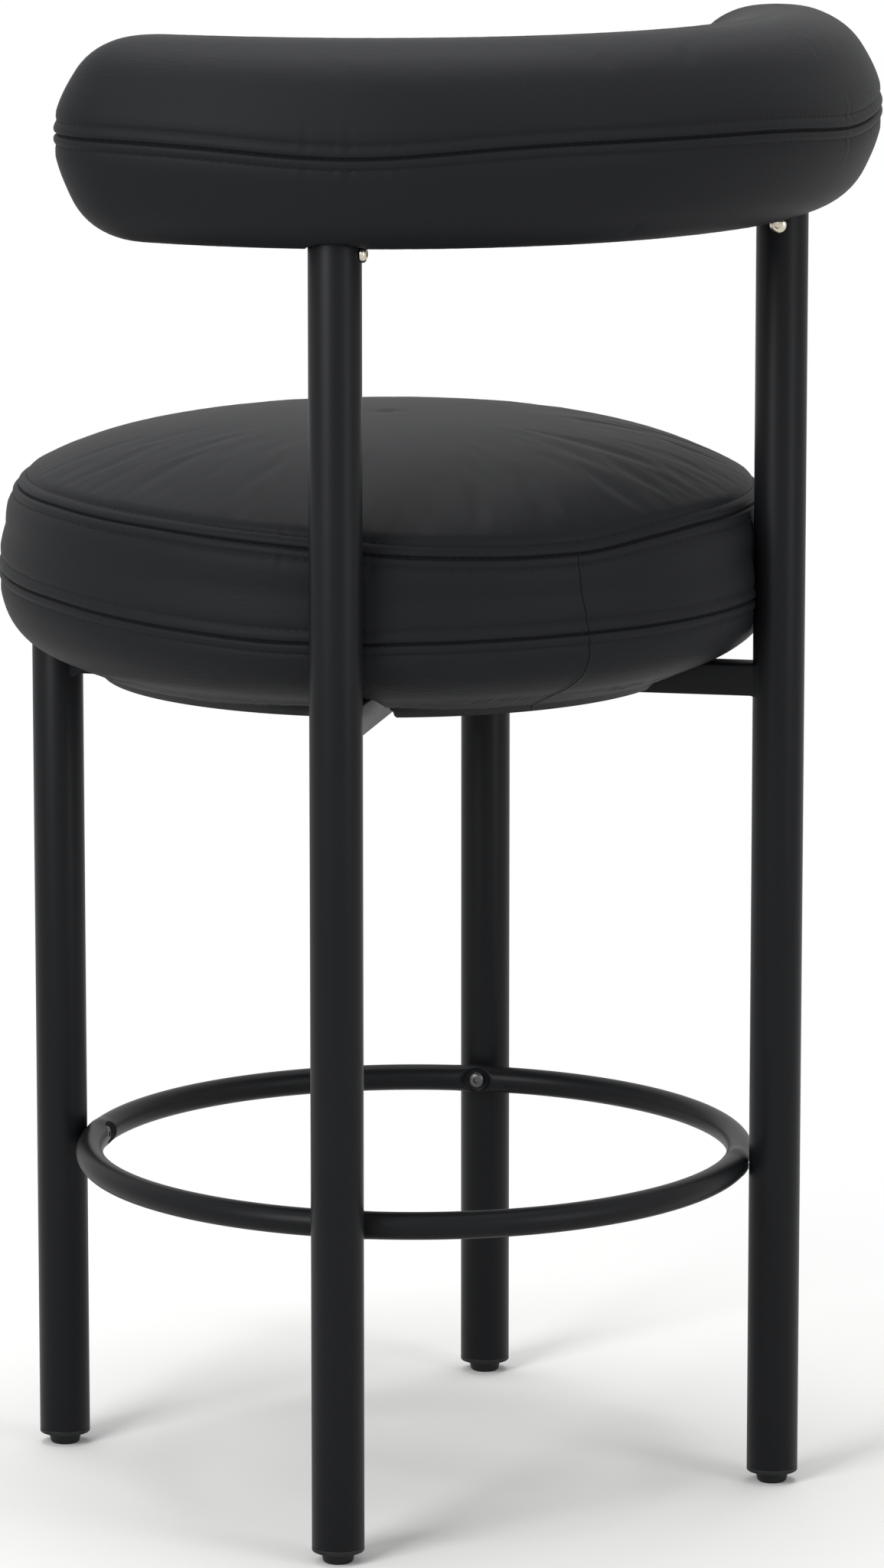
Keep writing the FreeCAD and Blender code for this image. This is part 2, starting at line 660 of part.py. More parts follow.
def seat_screws():
    """Four screws, driven upwards through washer and crossbar into the tee nuts."""
    bearing = "(Dims.bar_underside - Dims.washer_thickness)"
    face = f"({bearing} - Dims.seat_head_height)"
    tip = f"({bearing} + Dims.seat_screw_length)"
    socket = "Dims.hex_socket / 2"
    body = upright_four("seat_screws", "Dims.seat_bolt_circle", [
        ("0", f"{face} + Dims.hex_depth"),
        (socket, f"{face} + Dims.hex_depth"),
        (socket, face),
        ("Dims.seat_head_diameter / 2 * Dims.head_face", face),
        ("Dims.seat_head_diameter / 2", f"{bearing} - Dims.seat_head_height * Dims.head_rim"),
        ("Dims.seat_head_diameter / 2", bearing),
        ("Dims.seat_screw_diameter / 2", bearing),
        ("Dims.seat_screw_diameter / 2", tip),
        ("0", tip),
    ])
    return part_node(body, "seat_screws")


def seat_washers():
    """Four washers, under the heads of the seat screws."""
    hole = "Dims.seat_screw_diameter / 2 + Dims.slip_gap"
    body = new_body("seat_washers", several=True)
    section = new_sketch(body, "XY_Plane")
    circle(section, "Dims.seat_bolt_circle", "0", "Dims.washer_diameter")
    circle(section, "Dims.seat_bolt_circle", "0", f"2 * ({hole})")
    pad(body, section, "Dims.washer_thickness")
    repeat_four(body)
    place(body, up="Dims.bar_underside - Dims.washer_thickness", angle="45")
    return part_node(body, "seat_washers")


def seat_tee_nuts():
    """Four tee nuts, pressed into the board from above."""
    bore = "Dims.seat_screw_diameter / 2 + Dims.thread_gap"
    barrel = "Dims.tee_barrel_diameter / 2"
    flange = "Dims.tee_flange_diameter / 2"
    top = f"({BOARD_TOP} - Dims.foam_gap)"
    shoulder = f"({top} - Dims.tee_flange)"
    body = upright_four("seat_tee_nuts", "Dims.seat_bolt_circle", [
        (bore, f"{shoulder} - Dims.tee_barrel"),
        (barrel, f"{shoulder} - Dims.tee_barrel"),
        (barrel, shoulder),
        (flange, shoulder),
        (flange, top),
        (bore, top),
    ])
    return part_node(body, "seat_tee_nuts")


def seat_pieces():
    """Board, dust cover, foam, and the cover's top panel, side band and base panel, which meet at the seams."""
    seat_board()
    dust_blank = disc("dust_cover_blank", "Dims.seat_recess_radius - Dims.slip_gap", BAR_TOP, BOARD_UNDERSIDE)
    screw_room = upright_four("dust_cover_holes", "Dims.seat_bolt_circle", [
        ("0", BAR_TOP + " - Dims.overcut"),
        ("Dims.seat_screw_diameter / 2 + Dims.slip_gap", BAR_TOP + " - Dims.overcut"),
        ("Dims.seat_screw_diameter / 2 + Dims.slip_gap", BOARD_UNDERSIDE + " + Dims.overcut"),
        ("0", BOARD_UNDERSIDE + " + Dims.overcut"),
    ])
    part_node(cut("seat_dust_cover", dust_blank, screw_room), "seat_dust_cover")

    outer = seat_form("seat_outer", "0")
    inner = seat_form("seat_inner", "Dims.leather")
    foam = seat_form("seat_filling", "(Dims.leather + Dims.foam_gap)")
    room = frame_clearance()
    board_room = disc("seat_board_room", "Dims.board_radius + Dims.foam_gap",
                      BOARD_UNDERSIDE + " - Dims.overcut", BOARD_TOP + " + Dims.foam_gap")
    foam_room = fuse("seat_foam_room", [room, board_room])
    part_node(cut("seat_foam", foam, foam_room), "seat_foam")

    skin = cut("seat_skin", outer, inner)
    open_skin = cut("seat_skin_open", skin, room)
    wide = "Dims.seat_radius + Dims.panel_overcut"
    for label, low, high in (
            ("seat_cover_top", "Dims.seat_seam_upper", "(Dims.seat_top + Dims.panel_overcut)"),
            ("seat_cover_band", "Dims.seat_seam_lower", "Dims.seat_seam_upper"),
            ("seat_cover_base", "(Dims.seat_underside - Dims.panel_overcut)", "Dims.seat_seam_lower")):
        slab = disc(label + "_slab", wide, low, high)
        part_node(common(label, open_skin, slab), label)


# ---------------------------------------------------------------- backrest
def back_form(name, inset):
    """The backrest's outer form, or the space inside it: a rounded section swept on an arc, with round ends."""
    deep = f"(Dims.back_half_depth - {inset})"
    tall = f"(Dims.back_half_height - {inset})"
    rounding = f"(Dims.back_rounding - {inset})"
    near = f"(Dims.back_arc_radius - {deep})"
    far = f"(Dims.back_arc_radius + {deep})"
    low = f"(Dims.back_middle - {tall})"
    high = f"(Dims.back_middle + {tall})"

    middle = new_body(name + "_middle")
    section = new_sketch(middle, "YZ_Plane")
    outline(section, [
        (f"{near} + {rounding}", low),
        (f"{far} - {rounding}", low, rounding),
        (far, f"{low} + {rounding}"),
        (far, f"{high} - {rounding}", rounding),
        (f"{far} - {rounding}", high),
        (f"{near} + {rounding}", high, rounding),
        (near, f"{high} - {rounding}"),
        (near, f"{low} + {rounding}", rounding),
    ])
    sweep = turn(middle, section, "V_Axis", "Dims.back_arc_angle")
    sweep.Midplane = True
    place(middle, along="-Dims.back_arc_offset")
    pieces = [middle]

    for side, hand in (("left", 1), ("right", -1)):
        end = new_body(f"{name}_{side}_end")
        half = new_sketch(end, "YZ_Plane")
        outline(half, [
            ("Dims.back_arc_radius", low),
            (f"{far} - {rounding}", low, rounding),
            (far, f"{low} + {rounding}"),
            (far, f"{high} - {rounding}", rounding),
            (f"{far} - {rounding}", high),
            ("Dims.back_arc_radius", high),
        ])
        start = FreeCAD.Vector(size("Dims.back_arc_radius"), size(low), 0)
        finish = FreeCAD.Vector(size("Dims.back_arc_radius"), size(high), 0)
        axis = half.addGeometry(Part.LineSegment(start, finish), True)
        pin_point(half, axis, 1, "Dims.back_arc_radius", low)
        pin_point(half, axis, 2, "Dims.back_arc_radius", high)
        dome = turn(end, half, "Axis0", "180")
        dome.Reversed = hand > 0
        place(end, along="-Dims.back_arc_offset", angle=f"{-hand} * Dims.back_arc_angle / 2")
        pieces.append(end)
    doc.recompute()
    return fuse(name, pieces)


def arc_tube(name, outer, bore, angle):
    """A tube, or a solid rod where bore is None, bent round the backrest's arc through the posts."""
    body = new_body(name)
    section = new_sketch(body, "YZ_Plane")
    circle(section, POST_ARC, "Dims.rail_middle", outer)
    if bore:
        circle(section, POST_ARC, "Dims.rail_middle", bore)
    bend = turn(body, section, "V_Axis", angle)
    bend.Midplane = True
    place(body, along="-Dims.back_arc_offset")
    doc.recompute()
    return body


def screw_form(name, corner, threaded_hole=False, head_room=False):
    """A backrest screw, or its hole in the stem, or the room its head needs, turned about a level axis."""
    shank = "Dims.back_screw_diameter / 2"
    head = "Dims.back_head_diameter / 2"
    socket = "Dims.hex_socket / 2"
    bearing = LEG_RADIUS
    tip = f"({bearing} - Dims.back_screw_length)"
    face = f"({bearing} + Dims.back_head_height)"
    if threaded_hole:
        room = f"({shank} + Dims.thread_gap)"
        end = tip + " - Dims.overcut"
        corners = [(bearing, "0"), (bearing, room), (end, room), (end, "0")]
    elif head_room:
        room = head + " + Dims.overcut"
        far = face + " + Dims.screw_way"
        corners = [(far, "0"), (far, room), ("0", room), ("0", "0")]
    else:
        corners = [
            (f"{face} - Dims.hex_depth", "0"),
            (f"{face} - Dims.hex_depth", socket),
            (face, socket),
            (face, head + " * Dims.head_face"),
            (f"{bearing} + Dims.back_head_height * Dims.head_rim", head),
            (bearing, head),
            (bearing, shank),
            (tip, shank),
            (tip, "0"),
        ]
    body = new_body(name)
    sketch = new_sketch(body, "XY_Plane")
    outline(sketch, corners)
    turn(body, sketch, "H_Axis")
    side, end = CORNERS[corner]
    facing = INWARD_ANGLE[corner] + 90 * SCREW_SIDE[corner]
    place(body, f"{side} * {HALF_SPACING}", f"{end} * {HALF_SPACING}", "Dims.back_screw_height", str(facing))
    doc.recompute()
    return body


def back_pieces():
    """Bent rail and stems, the foam round them, the cover's two panels, which meet at the seam, and screws."""
    rail_bore = "Dims.rail_diameter - 2 * Dims.rail_wall"
    part_node(arc_tube("back_rail", "Dims.rail_diameter", rail_bore, "Dims.rail_angle"), "back_rail")
    rail_rod = arc_tube("rail_rod", "Dims.rail_diameter", None, "Dims.rail_angle + Dims.rail_overrun")
    rail_room = arc_tube("rail_room", "Dims.rail_diameter + 2 * Dims.foam_gap", None,
                         "Dims.rail_angle + Dims.rail_end_room")

    rooms = [rail_room]
    skin_rooms = []
    stem_bottom = "(Dims.post_height - Dims.stem_insert)"
    room_bottom = "(Dims.back_screw_height - Dims.post_room)"
    for corner in ("rear_left", "rear_right"):
        rod = post_rod("stem_rod_" + corner, corner, STEM_DIAMETER + " / 2", stem_bottom, "Dims.rail_middle")
        bore = post_rod("stem_bore_" + corner, corner, STEM_DIAMETER + " / 2 - Dims.stem_wall",
                        f"({stem_bottom} - Dims.overcut)", "Dims.rail_middle")
        doc.recompute()
        tube = cut("stem_tube_" + corner, rod, bore)
        coped = cut("stem_coped_" + corner, tube, rail_rod)
        thread = screw_form("stem_thread_" + corner, corner, threaded_hole=True)
        part_node(cut("back_stem_" + corner, coped, thread), "back_stem_" + corner[5:])
        post_room = post_rod("post_room_" + corner, corner, LEG_RADIUS + " + Dims.foam_gap",
                             room_bottom, "(Dims.post_height + Dims.foam_gap)")
        stem_room = post_rod("stem_room_" + corner, corner, STEM_DIAMETER + " / 2 + Dims.foam_gap",
                             room_bottom, "Dims.rail_middle")
        head_room = screw_form("head_room_" + corner, corner, head_room=True)
        rooms += [post_room, stem_room, head_room]
        skin_rooms += [post_room, head_room]
    doc.recompute()

    outer = back_form("back_outer", "0")
    inner = back_form("back_inner", "Dims.leather")
    filling = back_form("back_filling", "(Dims.leather + Dims.foam_gap)")
    part_node(cut("back_foam", filling, fuse("back_foam_room", rooms)), "back_foam")
    skin = cut("back_skin", outer, inner)
    open_skin = cut("back_skin_open", skin, fuse("back_skin_room", skin_rooms))
    reach = "(Dims.back_arc_radius + 2 * Dims.back_half_depth)"
    tall = "(Dims.back_half_height + Dims.panel_overcut)"
    for label, low, high in (
            ("back_cover_upper", "Dims.back_seam", f"(Dims.back_middle + {tall})"),
            ("back_cover_lower", f"(Dims.back_middle - {tall})", "Dims.back_seam")):
        slab = doc.addObject("Part::Cylinder", label + "_slab")
        slab.setExpression("Radius", reach)
        slab.setExpression("Height", f"{high} - {low}")
        place(slab, up=low)
        doc.recompute()
        part_node(common(label, open_skin, slab), label)
    screws = [screw_form("back_screw_" + corner, corner) for corner in SCREW_SIDE]
    part_node(combine("Part::Compound", "back_screws", Links=screws), "back_screws")


# ---------------------------------------------------------------- assembly
for name in CORNERS:
    leg(name, "Dims.post_height" if name in SCREW_SIDE else f"({BAR_TOP} - Dims.plug_cover)")
    end_cap(name)
    glide(name)
    glide_stud(name)
end_cap_nuts()
leg_plug("front_left")
leg_plug("front_right")
crossbar("crossbar_main", "0", True, 45)
crossbar("crossbar_left", "Dims.bar_size / 2", False, -45)
crossbar("crossbar_right", "Dims.bar_size / 2", False, 135)
footrest_ring()
footrest_screws()
footrest_rivet_nuts()
seat_pieces()
seat_screws()
seat_washers()
seat_tee_nuts()
back_pieces()
doc.recompute()

for item in doc.Objects:
    if "Invalid" in item.State or "Error" in item.State:
        raise ValueError(f"{item.Name} failed: {item.State}")
for item in nodes:
    if item.Shape.isNull() or not item.Shape.isValid() or not item.Shape.Solids:
        raise ValueError(f"{item.Label} has no valid solid")

os.makedirs("parts", exist_ok=True)
for item in nodes:
    item.Shape.exportStep(f"parts/{item.Label}.step")
    print(item.Label, len(item.Shape.Solids), round(item.Shape.Volume))
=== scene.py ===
import json
import math

import bmesh
import bpy
import numpy as np
from mathutils import Matrix, Vector
from mathutils.kdtree import KDTree

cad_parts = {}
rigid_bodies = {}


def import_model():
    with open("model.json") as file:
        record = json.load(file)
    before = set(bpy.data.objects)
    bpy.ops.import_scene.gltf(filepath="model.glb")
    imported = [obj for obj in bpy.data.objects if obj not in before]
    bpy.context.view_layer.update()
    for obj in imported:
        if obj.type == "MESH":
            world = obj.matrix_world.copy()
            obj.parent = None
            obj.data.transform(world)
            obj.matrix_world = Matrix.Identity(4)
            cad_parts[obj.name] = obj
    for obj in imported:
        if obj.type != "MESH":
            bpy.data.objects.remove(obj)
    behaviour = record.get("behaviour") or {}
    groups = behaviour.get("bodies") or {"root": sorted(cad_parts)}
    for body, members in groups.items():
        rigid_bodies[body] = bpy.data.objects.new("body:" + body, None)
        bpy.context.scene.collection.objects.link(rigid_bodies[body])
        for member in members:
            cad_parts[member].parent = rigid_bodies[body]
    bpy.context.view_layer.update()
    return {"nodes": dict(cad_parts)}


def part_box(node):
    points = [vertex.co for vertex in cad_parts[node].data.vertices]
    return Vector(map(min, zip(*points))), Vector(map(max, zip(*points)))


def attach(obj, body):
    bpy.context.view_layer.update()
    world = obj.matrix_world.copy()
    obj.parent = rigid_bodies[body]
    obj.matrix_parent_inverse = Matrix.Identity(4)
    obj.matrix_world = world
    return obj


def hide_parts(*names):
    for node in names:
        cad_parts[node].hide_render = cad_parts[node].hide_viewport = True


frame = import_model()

scene = bpy.context.scene

# ---------------------------------------------------------------- camera
# The stool stands with its back to the viewer, turned a third of a right angle, and is seen from a little above,
# from far enough away that its upright tubes stay almost parallel.
VIEW_TURN = math.radians(33.52)
VIEW_TILT = math.radians(10.3)
VIEW_DISTANCE = 4.5
VIEW_HEIGHT = 0.43786
VIEW_SIDESTEP = 0.01717
LENS = 165.03

towards_camera = Vector((
    math.sin(VIEW_TURN) * math.cos(VIEW_TILT),
    math.cos(VIEW_TURN) * math.cos(VIEW_TILT),
    math.sin(VIEW_TILT),
))
sideways = Vector((-math.cos(VIEW_TURN), math.sin(VIEW_TURN), 0))
camera = bpy.data.objects.new("camera", bpy.data.cameras.new("camera"))
scene.collection.objects.link(camera)
camera.location = Vector((0, 0, VIEW_HEIGHT)) + towards_camera * VIEW_DISTANCE + sideways * VIEW_SIDESTEP
camera.rotation_mode = "QUATERNION"
camera.rotation_quaternion = (-towards_camera).to_track_quat("-Z", "Y")
camera.data.lens = LENS
camera.data.sensor_width = 36
camera.data.clip_end = 60
scene.camera = camera
scene.view_settings.view_transform = "Standard"


# ---------------------------------------------------------------- studio
# A white paper floor that runs out into a white surround, lit by one large softbox high on the left, a weaker one
# on the right, and an overhead panel that draws the soft line along the shoulders of the cushions.
FLOOR_RADIUS = 9.0
SHADOW_RADIUS = 0.9
PAPER = "f2f2f1"


def linear(code):
    """An sRGB hex colour as the linear one that a shader takes."""
    channels = [int(code[i:i + 2], 16) / 255 for i in (0, 2, 4)]
    return [c / 12.92 if c <= 0.04045 else ((c + 0.055) / 1.055) ** 2.4 for c in channels] + [1.0]


def node(tree, kind, inputs=None, **settings):
    """Adds a node. A setting is an attribute of the node; an input is a value, or another node's output."""
    made = tree.nodes.new(kind)
    for key, value in settings.items():
        setattr(made, key, value)
    for key, value in (inputs or {}).items():
        if isinstance(value, bpy.types.NodeSocket):
            tree.links.new(value, made.inputs[key])
        else:
            made.inputs[key].default_value = value
    return made


def new_material(name):
    """An empty material and its output node."""
    material = bpy.data.materials.new(name)
    material.use_nodes = True
    material.node_tree.nodes.clear()
    return material, node(material.node_tree, "ShaderNodeOutputMaterial")


def mottle(tree, scale, detail, dark, light):
    """Cloudy noise on the piece's own coordinates, and two tones mixed by it."""
    place = node(tree, "ShaderNodeTexCoord").outputs["Object"]
    cloud = node(tree, "ShaderNodeTexNoise", {"Vector": place, "Scale": scale, "Detail": detail}).outputs["Fac"]
    tone = node(tree, "ShaderNodeMix", {0: cloud, 6: linear(dark), 7: linear(light)}, data_type="RGBA")
    return place, cloud, tone.outputs[2]


def between(tree, cloud, least, most):
    """A value that goes from least to most as a noise goes from 0 to 1."""
    return node(tree, "ShaderNodeMapRange", {"Value": cloud, "To Min": least, "To Max": most}).outputs["Result"]


def raised(tree, height, strength, distance):
    """The bent normals of a fine relief."""
    return node(tree, "ShaderNodeBump",
                {"Height": height, "Strength": strength, "Distance": distance}).outputs["Normal"]


def surfaced(material, output, inputs):
    """Closes a material with its shader and those inputs."""
    shader = node(material.node_tree, "ShaderNodeBsdfPrincipled", inputs)
    material.node_tree.links.new(shader.outputs[0], output.inputs["Surface"])
    return material


def deselect():
    """Nothing is selected or active, so that the next operator acts only on what it makes."""
    for item in scene.objects:
        item.select_set(False)
    bpy.context.view_layer.objects.active = None


def seen_rays(tree):
    """1 for rays that come from the camera, a reflection or a clear body, and 0 for those that light the stool."""
    path = node(tree, "ShaderNodeLightPath")
    first = node(tree, "ShaderNodeMath", {0: path.outputs["Is Camera Ray"], 1: path.outputs["Is Glossy Ray"]},
                 operation="MAXIMUM")
    return node(tree, "ShaderNodeMath", {0: first.outputs[0], 1: path.outputs["Is Transmission Ray"]},
                operation="MAXIMUM").outputs[0]


surround = bpy.data.worlds.new("surround")
surround.use_nodes = True
surround.node_tree.nodes.clear()
seen = seen_rays(surround.node_tree)
strength = node(surround.node_tree, "ShaderNodeMapRange", {"Value": seen, "To Min": 0.45, "To Max": 1.0})
sky = node(surround.node_tree, "ShaderNodeBackground",
           {"Color": (1, 1, 1, 1), "Strength": strength.outputs["Result"]})
node(surround.node_tree, "ShaderNodeOutputWorld", {"Surface": sky.outputs[0]})
scene.world = surround

paper, paper_out = new_material("studio_paper")
tree = paper.node_tree
where = node(tree, "ShaderNodeTexCoord").outputs["Object"]
reach = node(tree, "ShaderNodeVectorMath", {0: where}, operation="LENGTH").outputs["Value"]
fade = node(tree, "ShaderNodeMapRange",
            {"Value": reach, "From Min": SHADOW_RADIUS / 3, "From Max": SHADOW_RADIUS}, interpolation_type="SMOOTHSTEP")
away = node(tree, "ShaderNodeMath", {0: fade.outputs["Result"], 1: seen_rays(tree)}, operation="MULTIPLY")
lit = node(tree, "ShaderNodeBsdfDiffuse", {"Color": linear(PAPER)})
plain = node(tree, "ShaderNodeEmission", {"Color": (1, 1, 1, 1), "Strength": 1.0})
both = node(tree, "ShaderNodeMixShader", {0: away.outputs[0], 1: lit.outputs[0], 2: plain.outputs[0]})
tree.links.new(both.outputs[0], paper_out.inputs["Surface"])

deselect()
bpy.ops.mesh.primitive_circle_add(vertices=96, radius=FLOOR_RADIUS, fill_type="NGON")
floor = bpy.context.object
floor.name = "studio_floor"
floor.data.materials.append(paper)


def softbox(name, place, aim, width, height, power):
    """A rectangular lamp at one place that faces another."""
    lamp = bpy.data.lights.new(name, "AREA")
    lamp.shape = "RECTANGLE"
    lamp.size, lamp.size_y = width, height
    lamp.energy = power
    stand = bpy.data.objects.new(name, lamp)
    scene.collection.objects.link(stand)
    stand.location = place
    stand.rotation_mode = "QUATERNION"
    stand.rotation_quaternion = (Vector(aim) - Vector(place)).to_track_quat("-Z", "Y")
    return stand


MIDDLE = (0, 0, 0.55)
left_hand = -sideways
softbox("key_softbox", towards_camera * 2.2 + left_hand * 1.7 + Vector((0, 0, 1.5)), MIDDLE, 1.2, 1.8, 60)
softbox("fill_softbox", towards_camera * 2.0 - left_hand * 2.4 + Vector((0, 0, 0.9)), MIDDLE, 1.0, 1.8, 22)
softbox("overhead_panel", Vector((0, 0, 2.9)) - towards_camera * 0.3, MIDDLE, 2.0, 2.0, 50)


# ---------------------------------------------------------------- legs
# Four round steel tubes, 32 mm across with a 1.5 mm wall, sawn square and deburred. The two front ones stop under
# the seat; the two rear ones run on up and carry the backrest. All are powder-coated matte black.
CORNERS = ("front_left", "front_right", "rear_right", "rear_left")
TUBE_WALL = 0.0015
SAW_BEVEL = 0.0004
POWDER_BLACK = "101113"
POWDER_LIGHT = "141517"
ORANGE_PEEL = 0.0011


def powder_coat():
    """Baked polyester powder on steel: an even satin black that shows a faint orange-peel surface in highlights."""
    material, output = new_material("black_powder_coated_steel")
    tree = material.node_tree
    place, cloud, tone = mottle(tree, 14.0, 3.0, POWDER_BLACK, POWDER_LIGHT)
    peel = node(tree, "ShaderNodeTexNoise", {"Vector": place, "Scale": 1 / ORANGE_PEEL, "Detail": 2.0})
    return surfaced(material, output, {
        "Base Color": tone, "Roughness": between(tree, cloud, 0.36, 0.44), "IOR": 1.5, "Specular IOR Level": 0.12,
        "Normal": raised(tree, peel.outputs["Fac"], 0.18, 0.0002)})


def edit(piece):
    """Opens a piece in edit mode with nothing selected, and gives its mesh."""
    deselect()
    piece.select_set(True)
    bpy.context.view_layer.objects.active = piece
    bpy.ops.object.mode_set(mode="EDIT")
    bpy.ops.mesh.select_mode(type="FACE")
    bpy.ops.mesh.select_all(action="DESELECT")
    return bmesh.from_edit_mesh(piece.data)


def pick(mesh, piece, kind, test):
    """Selects the faces, edges or vertices whose middle passes a test."""
    bpy.ops.mesh.select_mode(type={"faces": "FACE", "edges": "EDGE", "verts": "VERT"}[kind])
    bpy.ops.mesh.select_all(action="DESELECT")
    for item in getattr(mesh, kind):
        if kind == "verts":
            middle = item.co
        elif kind == "edges":
            middle = (item.verts[0].co + item.verts[1].co) / 2
        else:
            middle = item.calc_center_median()
        item.select_set(bool(test(middle)))
    mesh.select_flush_mode()
    bmesh.update_edit_mesh(piece.data)


def close(piece, angle=35):
    """Leaves edit mode with the doubles merged and the faces outward, and puts the place into the mesh."""
    bpy.ops.mesh.select_all(action="SELECT")
    bpy.ops.mesh.remove_doubles(threshold=1e-6)
    bpy.ops.mesh.normals_make_consistent(inside=False)
    bpy.ops.object.mode_set(mode="OBJECT")
    bpy.ops.object.transform_apply(location=True, rotation=True, scale=True)
    bpy.ops.object.shade_smooth_by_angle(angle=math.radians(angle))


def modify(piece, kind, **settings):
    """Adds a modifier and applies it."""
    deselect()
    piece.select_set(True)
    bpy.context.view_layer.objects.active = piece
    made = piece.modifiers.new(kind.lower(), kind)
    for key, value in settings.items():
        setattr(made, key, value)
    bpy.ops.object.modifier_apply(modifier=made.name)


def belongs(piece, name, material, slot, body, *cad_nodes):
    """Names a finished piece, gives it its finish, and lets it stand for its CAD nodes on their body."""
    piece.name = name
    piece.data.name = name
    piece.data.materials.clear()
    piece.data.materials.append(material)
    if cad_nodes:
        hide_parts(*cad_nodes)
    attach(piece, body)
    return piece


POWDER = powder_coat()
leg_axes = {}
for corner in CORNERS:
    low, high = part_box("leg_" + corner)
    axis = (low + high) / 2
    leg_axes[corner] = Vector((axis.x, axis.y, 0))
    LEG_RADIUS = (high.x - low.x) / 2
    deselect()
    bpy.ops.mesh.primitive_cylinder_add(vertices=72, radius=LEG_RADIUS, depth=high.z - low.z, location=axis,
                                        end_fill_type="NOTHING")
    tube = bpy.context.object
    modify(tube, "SOLIDIFY", thickness=TUBE_WALL, offset=-1)
    modify(tube, "BEVEL", width=SAW_BEVEL, segments=2, limit_method="ANGLE", angle_limit=math.radians(60))
    edit(tube)
    close(tube)
    belongs(tube, "tube_leg_" + corner, POWDER, "frame_metal", "frame", "leg_" + corner)


# ---------------------------------------------------------------- feet
# Each leg ends in a black nylon cap with a thin lip under the tube. A levelling glide screws up into it: a tapered
# foot moulded round the head of a zinc-plated stud. The glide turns and travels with its stud.
LIP_EDGE = 0.0006
GLIDE_TOP_EDGE = 0.0005
GLIDE_BOTTOM_EDGE = 0.0015
GLIDE_TAPER = 6 / 7
PLUG_CLEARANCE = 0.0004
SEATED = 1e-5
NYLON_BLACK = "141516"
NYLON_WORN = "1d1e1f"
ZINC_SHADE = "a9adb2"
ZINC_SHINE = "c6c9c8"
SPARK_TEXTURE = 0.0012


def moulded_nylon():
    """Injection-moulded nylon: deep black and a little dull, with the fine spark-eroded texture of its mould."""
    material, output = new_material("black_moulded_nylon")
    tree = material.node_tree
    place, _, tone = mottle(tree, 120.0, 4.0, NYLON_BLACK, NYLON_WORN)
    grit = node(tree, "ShaderNodeTexNoise", {"Vector": place, "Scale": 1 / SPARK_TEXTURE, "Detail": 3.0})
    return surfaced(material, output, {
        "Base Color": tone, "Roughness": 0.5, "Specular IOR Level": 0.2,
        "Normal": raised(tree, grit.outputs["Fac"], 0.25, 0.0002)})


def zinc_plate():
    """Bright zinc over steel: a cool grey metal, a little cloudy, with faint passivation tints."""
    material, output = new_material("zinc_plated_steel")
    tree = material.node_tree
    _, cloud, tone = mottle(tree, 260.0, 3.0, ZINC_SHADE, ZINC_SHINE)
    return surfaced(material, output, {
        "Base Color": tone, "Metallic": 1.0, "Roughness": between(tree, cloud, 0.28, 0.4)})


def refinish(material, *cad_nodes):
    """Gives carried-over CAD nodes their finish."""
    for name in cad_nodes:
        for slot in frame["nodes"][name].material_slots:
            slot.material = material


NYLON = moulded_nylon()
ZINC = zinc_plate()
for corner in CORNERS:
    axis = leg_axes[corner]
    low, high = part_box("end_cap_" + corner)
    lip_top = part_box("leg_" + corner)[0].z
    bore = LEG_RADIUS - TUBE_WALL
    deselect()
    bpy.ops.mesh.primitive_cylinder_add(vertices=72, radius=LEG_RADIUS, depth=lip_top - low.z,
                                        location=axis + Vector((0, 0, (lip_top + low.z) / 2)))
    cap = bpy.context.object
    mesh = edit(cap)
    top = (lip_top - low.z) / 2
    pick(mesh, cap, "faces", lambda middle: middle.z > top - SEATED)
    bpy.ops.mesh.inset(thickness=LEG_RADIUS - bore + PLUG_CLEARANCE, depth=0)
    bpy.ops.mesh.extrude_region_move(TRANSFORM_OT_translate={"value": (0, 0, high.z - lip_top - 0.001)})
    pick(mesh, cap, "edges", lambda middle: abs(middle.xy.length - LEG_RADIUS) < 1e-4 and abs(middle.z) > top - SEATED)
    bpy.ops.mesh.bevel(offset=LIP_EDGE, segments=3, affect="EDGES")
    close(cap)
    belongs(cap, "cap_" + corner, NYLON, "black_plastic", "frame", "end_cap_" + corner)

    low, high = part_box("glide_" + corner)
    glide_radius = (high.x - low.x) / 2
    foot_radius = glide_radius * GLIDE_TAPER
    tall = high.z - low.z
    deselect()
    bpy.ops.mesh.primitive_cone_add(vertices=72, radius1=foot_radius, radius2=glide_radius, depth=tall,
                                    location=axis + Vector((0, 0, (low.z + high.z) / 2)))
    glide = bpy.context.object
    mesh = edit(glide)
    pick(mesh, glide, "edges", lambda middle: middle.z < SEATED - tall / 2 and middle.xy.length > foot_radius * 0.9)
    bpy.ops.mesh.bevel(offset=GLIDE_BOTTOM_EDGE, segments=5, affect="EDGES")
    pick(mesh, glide, "edges", lambda middle: middle.z > tall / 2 - SEATED and middle.xy.length > foot_radius * 0.9)
    bpy.ops.mesh.bevel(offset=GLIDE_TOP_EDGE, segments=2, affect="EDGES")
    pick(mesh, glide, "faces", lambda middle: middle.z < SEATED - tall / 2)
    bpy.ops.mesh.inset(thickness=0.0016, depth=0)
    bpy.ops.mesh.inset(thickness=0.0006, depth=-0.0005)
    close(glide)
    belongs(glide, "glide_foot_" + corner, NYLON, "black_plastic", "foot_" + corner, "glide_" + corner)
refinish(ZINC, "end_cap_nuts", *["glide_stud_" + corner for corner in CORNERS])


# ---------------------------------------------------------------- crossbars
# A cross of 20 mm square steel tube under the seat. One bar runs from leg to leg; two half bars butt against it. The
# ends are coped round the legs, and MIG-welded and dressed, which leaves a small smooth fillet before the coating.
TUBE_CORNER = 0.0018
FILLET = 0.0032
FILLET_STEPS = 4
SEAT_SCREW_REACH = 0.11
WELD_BITE = 0.0003


